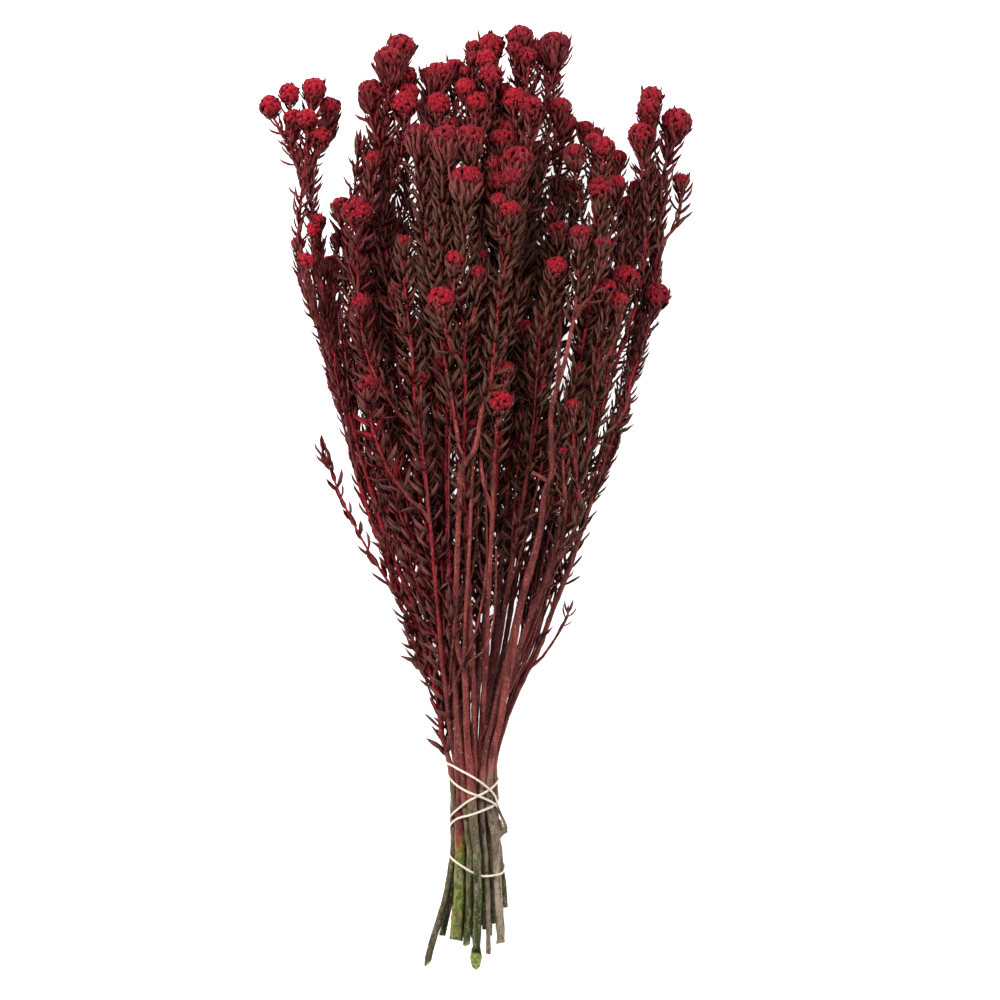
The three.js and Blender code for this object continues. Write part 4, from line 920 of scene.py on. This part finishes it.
# A finish of two tones in a fine grain
def grainMaterial(name, grain, low, dark, high, pale, bump, roughness=0.7, **constants):
    material, tree, shader = newFinish(name, roughness, **constants)
    rays = speckle(tree, *grain)
    colourFinish(tree, shader, ramp(tree, rays, (low, dark), (high, pale)), rays, bump, 0.0003)
    return material


leafSkin, bractSkin = leafMaterial("leaf"), leafMaterial("bract", True)
floretSkin, barkSkin = floretMaterial(), barkMaterial()
cutSkin = grainMaterial("cut_wood", (700, 2.0, (1, 1, 0.4)), 0.35, rgb(96, 104, 48), 0.6, rgb(172, 178, 96), 0.4)
elasticSkin = grainMaterial("elastic_cream", (1600, 2.0), 0.3, rgb(212, 194, 172), 0.6, rgb(244, 230, 211), 0.5,
                            Sheen_Weight=0.3)
scatter, bars = scatterTree(), barTree()
print("finishes made")

# Where the looks change: along the bunch, and then across it, from not at all at the first place to
# fully at the second
zones = {
    "belowTie": (-196, -216), "aboveTie": (-190, -150), "clearOfTie": (-165, -140), "pastFoot": (-70, -30),
    "inFoot": (-40, -70), "underHeads": (190, 150), "nearHeads": (200, 150), "lowThird": (60, -20),
    "lowHalf": (60, 0), "underMiddle": (160, 60), "underTop": (275, 180), "lowest": (40, -20), "overFoot": (-70, 0),
    "lowMiddle": (60, 10), "top": (185, 260), "upperMiddle": (80, 130), "underBend": (160, 80), "opened": (130, 50),
    "curled": (90, 40), "topRim": (225, 262),
    "right": (-10, 50), "fromLeft": (-80, -30), "fromRight": (115, 70), "leftOfMiddle": (5, -20), "left": (0, -25),
    "leftEdge": (-45, -85), "rightEdge": (70, 115), "leftRim": (-45, -90), "rightRim": (60, 100),
    "pastCluster": (-100, -80),
}


def zone(value, name):
    return fadeIn(value, *zones[name])


# The wood: one piece for each stem
wood = {
    "spacing": 3.4, "fineSpacing": 6.0, "sides": 8, "relief": 0.0009, "reliefScale": 230.0, "leafyThinning": 0.3,
    "rootShare": 0.9, "rootFlare": 0.45, "rootFlareLength": 7.0, "swellStem": 14, "swellAt": -208.0, "swell": 0.3,
    "twigShare": 0.85, "knotLength": 7.0, "knotSize": 0.17, "cutFlare": 0.05, "cutFlareLength": 8.0, "slim": 0.92,
    "stumpPlaces": (0, 0.35, 0.6, 0.8, 0.92, 1), "stumpShares": (1.25, 1.1, 1, 1.05, 1.1, 0.9),
}
# for each stem how green it is below the tie, from 0, grey, to 1, painted yellow-green, and how dark above it: partly
# its own tone, partly painted shade, darkest for the stems underneath and lightest for those in front
stemTones = [0.5, 0.6, 1.0, 0.72, 0.85, 0.66, 0.6, 0.7, 0.62, 0.5, 0.58, 0.4, 0.5, 0.06, 0.0, 0.3, 0.62, 0.78,
             0.6, 0.66, 0.5, 0.6, 0.55, 0.5, 0.4]
stemDuskShades = [0.6, 0.4, 0.3, 0.5, 0.7, 0.45, 0.8, 0.6, 0.7, 0.6, 0.0, 0.4, 0.3, 0.4, 0.05, 0.45, 0.15, 0.3, 0.1, 0.5,
             0.8, 1.0, 0.9, 1.0, 0.8]
dyeEnds = {2: -214.0, 5: -186.0, 10: -183.0, 16: -178.0}  # elsewhere the dye ends at usualDyeEnd
usualDyeEnd = -171.0
girths = {2: 1.5, 10: 0.92, 13: 0.74, 14: 0.92}  # how thick these stems are below the tie
slimStems = {10: 0.76, 14: 0.76, 16: 0.85, 18: 0.76, 13: 0.9}  # and above it
cutFlares = {10: 0.4, 14: 0.12}
# how far each cut slants, towards the front and towards the right
cutSlants = {0: (0.5, 0.9), 10: (2.3, 0.1), 8: (0.3, -0.5), 16: (0.6, 0.3), 14: (0.1, 0.2), 13: (0.2, -0.2)}


def girthAt(node, y):
    return 1 + (girths.get(node, 1.0) - 1) * zone(y, "belowTie")


def leafinessAt(shoot, y):
    return fadeIn(y, shoot.bareTo - 10, shoot.bareTo + 50)


def thicknessAt(shoot, y):
    node, rootY = shoot.node, shoot.rootY
    radius = (shoot.radius if shoot.isFine else shoot.woodAt(y)) * (1 - wood["leafyThinning"] * leafinessAt(shoot, y))
    if shoot.isTwig and not shoot.isFine:
        radius *= wood["twigShare"]
    if shoot.parent:
        radius *= wood["rootShare"] + wood["rootFlare"] * (1 - fadeIn(y, rootY, rootY + wood["rootFlareLength"]))
    else:
        radius *= girthAt(node, y)
        radius *= 1 + (slimStems.get(node, wood["slim"]) - 1) * zone(y, "aboveTie")
        radius *= 1 + cutFlares.get(node, wood["cutFlare"]) * fadeIn(y, rootY + wood["cutFlareLength"], rootY)
        radius *= 1 + wood["swell"] * (node == wood["swellStem"]) * math.exp(-((y - wood["swellAt"]) / 6) ** 2)
    knot = noise.noise(Vector((node * 3.1 + shoot.tipY * 0.37, y / wood["knotLength"], 0.5)))
    return radius * (1 + wood["knotSize"] * knot)


# The paths of a stem's shoots, stumps and curls, in rows of point, radius and how leafy it is
def woodPaths(node):
    own = shootsOf(node)
    for shoot in own:
        top = shoot.tipY - (0 if shoot.isFine else 7 if shoot.isTwig else 0.5 * shoot.headRadius)
        low = gathered["woodFrom"] if shoot.isGathered else shoot.rootY
        count = max(int((top - low) / wood["fineSpacing" if shoot.isFine else "spacing"]), 4)
        yield [(shoot.pointAt(y), thicknessAt(shoot, y), leafinessAt(shoot, y)) for y in np.linspace(low, top, count)]
    for rootY, *tip, radius in stems[node].get("stumps", []):
        root = own[0].pointAt(rootY)
        yield [(root * (1 - t) + np.array(tip) * t + np.array([0, 0.6, 0]) * math.sin(math.pi * t), radius * share, 0)
               for t, share in zip(wood["stumpPlaces"], wood["stumpShares"])]
    for curl, radius in stems[node].get("curls", []):
        yield [(spot, radius, 0) for spot in curl]


def woodPiece(node):
    name = f"branch_{node + 1:02d}"
    paths = list(woodPaths(node))
    points, thick, leafy = zip(*(row for path in paths for row in path))
    starts = np.cumsum([0] + [len(path) for path in paths])
    edges = [(i - 1, i) for start, end in zip(starts, starts[1:]) for i in range(start + 1, end)]
    mesh = carrierMesh(name + "_paths", points, {"thick": np.array(thick) * mm, "leafy": leafy}, edges)
    piece = growPiece(name + "_wood", mesh, bars, {
        "Sides": wood["sides"], "Relief": wood["relief"], "Relief scale": wood["reliefScale"], "Finish": barkSkin})
    dressWood(piece.data, node, shootsOf(node)[0])
    return finishPiece(piece, "bark", name)


# The cut end slants and shows pale wood, and the whole stem has its own tone
def dressWood(mesh, node, main):
    for label, value in (("tone", stemTones[node]), ("dusk", stemDuskShades[node]),
                         ("dyeEnd", dyeEnds.get(node, usualDyeEnd) * mm)):
        carry(mesh, label, np.full(len(mesh.vertices), value))
    mesh.materials.append(cutSkin)
    x, y, z = main.pointAt(main.rootY) * mm
    front, right = cutSlants.get(node, (0.15, 0.2 - 0.1 * (node % 5)))

    def slant(spots):
        near = (np.abs(spots[:, 1] - y) < 0.0025) & (np.hypot(spots[:, 0] - x, spots[:, 2] - z) < 0.006)
        spots[near, 1] += front * (spots[near, 2] - z) + right * (spots[near, 0] - x)
    layDown(mesh, slant)
    for face in mesh.polygons:
        if len(face.vertices) > 4 and abs(face.center.y - y) < 0.004:
            face.material_index = 1
            face.use_smooth = False


for node in range(len(stems)):
    woodPiece(node)
print("wood grown")

# The leaves, and the bracts under each head
leaves = {
    "length": 13.6 * mm, "width": 3.0 * mm, "sizeSpread": 0.16, "seed": 4, "lowSpacing": 2.0, "topSpacing": 0.7,
    "lowSpread": 40.0, "topSpread": 31.0, "scatterDegrees": 10.0, "roll": 0.45, "faceUp": 0.35, "lean": 0.06,
    "sunk": 0.6, "freeOfParent": 0.6,
    "turnedShare": 0.12, "turnedLowLeft": 0.36, "frontBare": 0.4, "brightShare": 0.35, "bright": 0.97,
    "tuft": 14.0, "tipClose": 9.0, "edgeClose": 12.0, "outerSpread": 3.0, "looseSpacing": 1.7,
    "outerSpacing": 1.5, "edgeSpacing": 0.8,
}
closeLeaves = {0: 24, 1: 19, 11: 14, 12: 17, 24: 14, 15: 16}  # degrees that leaves on the edge stems lie closer
# how long they are on these stems' side shoots
sideLeaves = {0: 0.8, 1: 0.8, 3: 0.8, 6: 0.8, 7: 0.8, 9: 0.8, 11: 0.85}
# how much further down than on the solids each stem bears leaves
lowerLeaves = [0, 0, 20, 50, 60, 30, 60, 50, 60, 45, 0, 66, 72, 25, 0, 48, 10, 20, 0, 45, 70, 70, 80, 75, 78]
bracts = {
    "length": 10.0 * mm, "width": 1.95 * mm, "sizeSpread": 0.2, "seed": 9, "pitch": 2.05, "smallHead": 5.5,
    # each whorl's foot, along and out, its rim, along and out, in head radii, and how full it is
    "whorls": [(-1.75, 0.25, -0.35, 0.9, 0.9), (-1.35, 0.28, -0.08, 1.0, 1.0), (-0.95, 0.4, 0.2, 1.03, 1.0),
               (-0.55, 0.6, 0.46, 0.9, 0.8)],
}
leafShape = bladeShape("leaf_shape", [(0.0, 0.22), (0.3, 0.49), (0.66, 0.42)], 0.7, 0.6, 0.0)
straightShape = bladeShape("straight_leaf_shape", [(0.0, 0.2), (0.22, 0.5), (0.5, 0.58), (0.8, 0.34)],
                           0.55, 0.22, 0.15)
bractShape = bladeShape("bract_shape", [(0.0, 0.3), (0.42, 0.5), (0.8, 0.38)], 0.4, 0.6, 0.4)
fillShape = bladeShape("fill_leaf_shape", [(0.06, 0.34), (0.55, 0.52)], 0.5, 0.4, 0.1, True)
golden = math.radians(137.508)
random = np.random.default_rng(27)


def crossFrame(along):
    side = np.cross(along, (0.0, 0.0, 1.0))
    side /= np.linalg.norm(side)
    return side, np.cross(side, along)


# How a leaf at this place is turned: its aim and its inner side
def leafTurn(shoot, y, top, up, angle, edge):
    along = shoot.headingAt(y)
    side, front = crossFrame(along)
    out = side * math.cos(angle) + front * math.sin(angle)
    spread = leaves["lowSpread"] + (leaves["topSpread"] - leaves["lowSpread"]) * up ** 0.5
    spread -= leaves["edgeClose"] * edge * zone(y, "clearOfTie")
    spread -= leaves["tipClose"] * fadeIn(y, top - leaves["tuft"], top)
    spread -= closeLeaves.get(shoot.node, 0) * zone(y, "pastFoot") * zone(y, "underHeads")
    spread += leaves["outerSpread"] * (shoot.isTwig and not shoot.isFine) + leaves["scatterDegrees"] * random.normal()
    sine, cosine = math.sin(math.radians(spread)), math.cos(math.radians(spread))
    aim = along * cosine + out * sine + np.array([leaves["lean"], 0, leaves["lean"]]) * random.normal(size=3)
    inner = along * sine - out * cosine
    inner += np.cross(aim, inner) * leaves["roll"] * random.normal() - np.array([0, 0, leaves["faceUp"]])
    return out, aim, inner


# Its length and width, by where it grows
def leafSize(shoot, x, y, up, edge, left):
    isSmall, isUnder = shoot.node in (0, 1, 11, 12) or shoot.node == 15 and x > 80, shoot.node >= firstUnder
    size = (1.06 - 0.06 * fadeIn(up, 0, 0.3)) * (0.8 + 0.2 * fadeIn(shoot.headRadius, 3, 8) ** 0.5)
    size *= (1 - 0.25 * isSmall * zone(y, "pastFoot") * zone(y, "nearHeads")) * (1 - 0.18 * edge) * (1 + 0.16 * left)
    wide = 0.92 + 0.33 * left * zone(y, "lowThird") - 0.14 * zone(x, "right") * zone(y, "underMiddle")
    if shoot.isFine:
        return size * (1.25 if isUnder else 1.1), wide * (1.5 if isUnder else 1.0)
    if shoot.isTwig:
        size, wide = size * (1.5 if shoot.node == 1 else 0.8), wide * 1.35
    return size * (sideLeaves.get(shoot.node, 1.0) if shoot.parent else 1), wide


# How olive and how red its outer side is: olive in the middle, red at the edges, at the top and under heads
def leafColour(shoot, x, y, top, left):
    olive = zone(x, "fromLeft") * zone(x, "fromRight") * zone(y, "overFoot")
    olive *= 1 - zone(y, "lowMiddle") * zone(x, "leftOfMiddle")
    olive = (olive * zone(y, "underTop") + 0.25 * left * zone(y, "lowest")) * random.random() ** 0.35
    red = 0.75 * zone(x, "leftEdge") + 0.2 * zone(x, "rightEdge") + 0.9 * zone(y, "top")
    red += 0.35 * fadeIn(y, top - leaves["tuft"], top) + 0.08 + 0.14 * zone(y, "upperMiddle")
    return olive, min(red * (0.4 + 0.6 * random.random()) * (0.4 if shoot.isTwig else 1), 1.0)


def leavesOf(shoot):
    if shoot.isFine and shoot.bareTo >= shoot.tipY:
        return
    isOuterTwig = shoot.isTwig and not shoot.isFine
    top = shoot.tipY - (4 if isOuterTwig else 0.3 if shoot.isFine else 0.75 * shoot.headRadius)
    low = shoot.bareTo if shoot.isFine else max(
        shoot.bareTo - lowerLeaves[shoot.node], shoot.rootY + leaves["freeOfParent"] * shoot.blend)
    if shoot.isGathered:
        low, top = gathered["leafFrom"], top - gathered["bareUnderHead"]
    y = min(low, top - 10) + 2 * random.random()
    angle = random.random() * 2 * math.pi
    isLoose = shoot.node == 0 and not shoot.isFine
    while y < top:
        up = fadeIn(y, shoot.bareTo, top)
        edge = zone(y, "inFoot") * (shoot.node < 2)
        angle += golden
        centre = shoot.pointAt(y)
        x = centre[0]
        left = zone(x, "left") * zone(y, "underBend")
        lowLeft = left * zone(y, "lowHalf")
        out, aim, inner = leafTurn(shoot, y, top, up, angle, edge)
        isTurned = random.random() < leaves["turnedShare"] * (1 - up) + leaves["turnedLowLeft"] * lowLeft
        isTurned = isTurned and not shoot.isFine
        size, wide = leafSize(shoot, x, y, up, edge, left)
        olive, red = leafColour(shoot, x, y, top, left)
        kind = 2 if shoot.isFine else int(up < 0.12 + 0.2 * random.random())
        bare = (0.15 + 0.35 * zone(y, "opened") + leaves["frontBare"] * left) * fadeIn(out[2], 0.3, 0.75)
        if random.random() > bare:
            # the leaves of the fine twigs, which fill the inside of the bunch, lean to the dark colour as painted
            # shade; the other leaves vary at random
            shade = 0.6 + 0.4 * random.random() if shoot.isFine else random.random() ** 0.65
            if shade < 0.87 and not shoot.isFine:
                shade *= 1 - 0.8 * lowLeft
            if isTurned and random.random() < leaves["brightShare"] * left * zone(y, "curled"):
                shade = leaves["bright"]
            foot = shoot.radius if shoot.isFine else shoot.woodAt(y) * (
                1 - wood["leafyThinning"] * fadeIn(up, 0, 0.3))
            yield (centre + out * leaves["sunk"] * foot, aim, -inner if isTurned else inner, size, shade, olive,
                   red, kind, wide)
        spacing = leaves["lowSpacing"] + (leaves["topSpacing"] - leaves["lowSpacing"]) * up
        spacing *= (1 + 0.3 * lowLeft) * (0.8 + 0.4 * random.random())
        y += spacing * (leaves["looseSpacing"] if isLoose and (shoot.parent or y > 150)
                        else leaves["outerSpacing"] if isOuterTwig
                        else leaves["edgeSpacing"] if shoot.node < 2 else 1.0)


def headOf(shoot):
    x, z = shoot.centreAt(shoot.tipY)
    bx, bz = shoot.centreAt(shoot.tipY - 1.5 * shoot.headRadius)
    heading = np.array([x - bx, 1.5 * shoot.headRadius, z - bz])
    turn = math.radians(shoot.turn)
    facing = heading / np.linalg.norm(heading) * math.cos(turn) + np.array([0, 0, math.sin(turn)])
    facing /= np.linalg.norm(facing)
    return shoot.pointAt(shoot.tipY), facing, *crossFrame(facing)


def bractsOf(shoot):
    if shoot.isTwig:
        return
    centre, facing, side, front = headOf(shoot)
    radius = shoot.headRadius
    whorls = bracts["whorls"][radius < bracts["smallHead"]:]
    red = 0.6 * zone(centre[0], "leftRim") + 0.55 * zone(centre[0], "rightRim") + 0.8 * zone(centre[1], "topRim")
    for whorl, (lowAt, lowOut, rimAt, rimOut, share) in enumerate(whorls):
        count = max(int(2 * math.pi * radius * rimOut / bracts["pitch"] * share), 7)
        for i in range(count):
            angle = 2 * math.pi * (i + 0.33 * whorl + 0.3 * random.random()) / count
            out = side * math.cos(angle) + front * math.sin(angle)
            foot = centre + facing * radius * lowAt + out * radius * lowOut
            rim = centre + facing * radius * (rimAt + 0.19 * random.normal()) + out * radius * rimOut
            length = np.linalg.norm(rim - foot)
            aim = (rim - foot) / length + np.cross(facing, out) * 0.24 * random.normal()
            aim += out * (0.03 + 0.12 * random.normal())
            inner = np.cross(np.cross(aim, out), aim)
            yield (foot, aim, -inner, length * mm / bracts["length"], random.random(), 0,
                   min(red, 0.9) * (0.6 + 0.4 * random.random()), 0, 1)


rowLabels = ("aim", "inner", "size", "shade", "green", "red", "kind", "wide")


# One piece of what rowsOf stands on a stem's shoots
def scatteredPiece(node, part, rowsOf, rule, shapes, finish, slot):
    name = f"branch_{node + 1:02d}"
    rows = [row for shoot in shootsOf(node) for row in rowsOf(shoot)]
    points, *columns = zip(*rows)
    mesh = carrierMesh(f"{name}_{part}_roots", points, dict(zip(rowLabels, columns)))
    piece = growPiece(f"{name}_{part}", mesh, scatter, {
        **dict(zip(shapeLabels, shapes)), "Length": rule["length"], "Width": rule["width"],
        "Size spread": rule["sizeSpread"], "Seed": rule["seed"] + node, "Finish": finish})
    return finishPiece(piece, slot, name)


for node in range(len(stems)):
    scatteredPiece(node, "leaves", leavesOf, leaves, (leafShape, straightShape, fillShape), leafSkin, "leaf")
for node in range(len(stems)):
    scatteredPiece(node, "bracts", bractsOf, bracts, (bractShape,), bractSkin, "bract")
print("leaves and bracts grown")

# The florets of each head
florets = {"width": 1.85 * mm, "length": 1.75 * mm, "sizeSpread": 0.22, "seed": 3, "pitch": 2.5, "flatness": 0.8,
           "dim": 0.4, "inset": 1.0, "core": 0.9, "coreDepth": 0.25}
floretShape = beadShape("floret_shape", [(-0.35, 0.75), (0.2, 1.0), (0.62, 0.7)], 0.82, -0.8, 0.1)


def floretsOf(shoot):
    if shoot.isTwig:
        return
    centre, facing, side, front = headOf(shoot)
    radius = shoot.headRadius - florets["inset"]
    dim = florets["dim"] * random.random() * zone(centre[0], "pastCluster")
    # the core under the florets takes the darkest colour: painted shade that shows through the gaps between them
    yield (centre - facing * radius * florets["coreDepth"], facing, side,
           radius * florets["core"] * mm / florets["width"], 1, 0, 0, 0, 1)
    count = max(int(2 * math.pi * radius ** 2 * 0.9 / (0.87 * florets["pitch"] ** 2)), 7)
    for i in range(count):
        polar = math.acos(1 - (i + 0.5) / count)
        angle = i * golden + 0.25 * random.normal()
        out = side * math.cos(angle) + front * math.sin(angle)
        shell = radius * (1 + 0.05 * random.normal())
        spot = centre + out * shell * math.sin(polar) + facing * shell * florets["flatness"] * math.cos(polar)
        aim = out * math.sin(polar) + facing * math.cos(polar) + 0.22 * random.normal(size=3)
        # shade is partly random tone, per head and per floret, and partly painted shade: florets darken round the
        # dome's sides
        shade = dim + 0.5 * random.random() + 0.4 * (2 * polar / math.pi) ** 3
        yield spot, aim, facing + out * 0.3, 1, shade, 0, 0, 0, 1


for node in range(len(stems)):
    scatteredPiece(node, "heads", floretsOf, florets, (floretShape,), floretSkin, "floret")
for shape in (leafShape, straightShape, fillShape, bractShape, floretShape):
    bpy.data.objects.remove(shape)
print("florets grown")

# The elastic tie: two strands side by side, on one closed route round the bundled stems
tie = {"strand": 0.38, "apart": 0.34, "gap": 0.85, "layer": 1.2, "steps": 420, "sides": 8, "relief": 0.00004,
       "reliefScale": 900.0, "behindBelow": -222.0, "behind": (10, 16, 5)}
mains = [shoot for shoot in shoots if not shoot.parent]


def outsideBundle(angle, y, margin):
    held = [shoot for shoot in mains if shoot.rootY < y
            and not (y < tie["behindBelow"] and shoot.node in tie["behind"])]
    discs = np.array([[*shoot.pointAt(y)[[0, 2]], shoot.woodAt(y) * max(1, girthAt(shoot.node, y))]
                      for shoot in held])
    middle = (discs[:, :2].min(axis=0) + discs[:, :2].max(axis=0)) / 2
    normals = angle + np.radians(np.arange(-80, 81, 4))
    towards = np.stack([np.cos(normals), np.sin(normals)])
    reaches = ((discs[:, :2] - middle) @ towards + discs[:, 2:]).max(axis=0) + margin
    distance = (reaches / np.cos(normals - angle)).min()
    return [middle[0] + distance * math.cos(angle), y, middle[1] + distance * math.sin(angle)]


def tieRoute():
    rows = np.array(bandRoute, dtype=float)
    steps = [np.linspace(row, after, math.ceil(abs(after[0] - row[0]) / 10), endpoint=False)
             for row, after in zip(rows, rows[1:])]
    knots = [outsideBundle(math.radians(angle), y, tie["gap"] + layer * tie["layer"])
             for angle, y, layer in np.vstack([*steps, rows[-1:]])]
    knots = np.array(knots + bandHook[::-1])
    for _ in range(2):
        knots = 0.5 * knots + 0.25 * (np.roll(knots, 1, axis=0) + np.roll(knots, -1, axis=0))
    lengths = np.linalg.norm(np.roll(knots, -1, axis=0) - knots, axis=1)
    places = np.concatenate([[0], np.cumsum(lengths)])
    ring = np.vstack([knots, knots[:1]])
    wanted = np.linspace(0, places[-1], tie["steps"], endpoint=False)
    return np.stack([np.interp(wanted, places, ring[:, k]) for k in range(3)], axis=1)


def tiePiece():
    route = tieRoute()
    along = np.roll(route, -2, axis=0) - np.roll(route, 2, axis=0)
    middles = np.array([np.mean([shoot.pointAt(y) for shoot in mains], axis=0) for y in route[:, 1]])
    side = np.cross(along, (route - middles) * (1, 0, 1))
    side /= np.linalg.norm(side, axis=1)[:, None]
    points = np.vstack([route + side * tie["apart"], route - side * tie["apart"]])
    count = len(route)
    edges = [(s * count + i, s * count + (i + 1) % count) for s in (0, 1) for i in range(count)]
    mesh = carrierMesh("tie_paths", points, {"thick": [tie["strand"] * mm] * len(points)}, edges)
    piece = growPiece("tie_elastic", mesh, bars, {
        "Sides": tie["sides"], "Relief": tie["relief"], "Relief scale": tie["reliefScale"], "Finish": elasticSkin})
    return finishPiece(piece, "elastic", "tie_band")


tiePiece()
print("tie wound")

# The floor, the light and the camera
studio = {
    "floorTone": 0.8, "floorGlow": 0.85, "floorHalf": 4.0, "skyStrength": 0.12, "lightSize": 0.9,
    "lights": {"left softbox": ((-1.7, 0.7, 1.35), 52.0), "right softbox": ((1.8, 0.3, 1.35), 31.0),
               "top softbox": ((0.0, 1.2, 2.0), 21.0)},
    "lens": 200.0, "cameraHeight": 3.589, "frameMiddle": (0.01306, 0.00064),
}


def addObject(name, data, place=(0, 0, 0)):
    thing = bpy.data.objects.new(name, data)
    thing.location = place
    scene.collection.objects.link(thing)
    return thing


def makeFloor():
    half = studio["floorHalf"]
    mesh = bpy.data.meshes.new("floor")
    mesh.from_pydata([(-half, -half, 0), (half, -half, 0), (half, half, 0), (-half, half, 0)], [], [(0, 1, 2, 3)])
    floor = addObject("floor", mesh)
    mesh.materials.append(newFinish(
        "floor_pale", 0.9, Specular_IOR_Level=0.0, Base_Color=grey(studio["floorTone"]),
        Emission_Color=grey(1.0), Emission_Strength=studio["floorGlow"])[0])


def makeLights():
    for name, (place, power) in studio["lights"].items():
        data = bpy.data.lights.new(name, "AREA")
        data.energy, data.shape, data.size = power, "DISK", studio["lightSize"]
        addObject(name, data, place).rotation_euler = (-Vector(place)).to_track_quat("-Z", "Y").to_euler()
    world = bpy.data.worlds.new("studio")
    world.use_nodes = True
    sky = world.node_tree.nodes["Background"].inputs
    sky[0].default_value, sky[1].default_value = (1, 1, 1, 1), studio["skyStrength"]
    scene.world = world


def makeCamera():
    data = bpy.data.cameras.new("camera")
    data.lens, data.clip_end = studio["lens"], 50
    scene.camera = addObject("camera", data, (*studio["frameMiddle"], studio["cameraHeight"]))


makeFloor()
makeLights()
makeCamera()
scene.view_settings.view_transform = "Standard"
print("studio set")
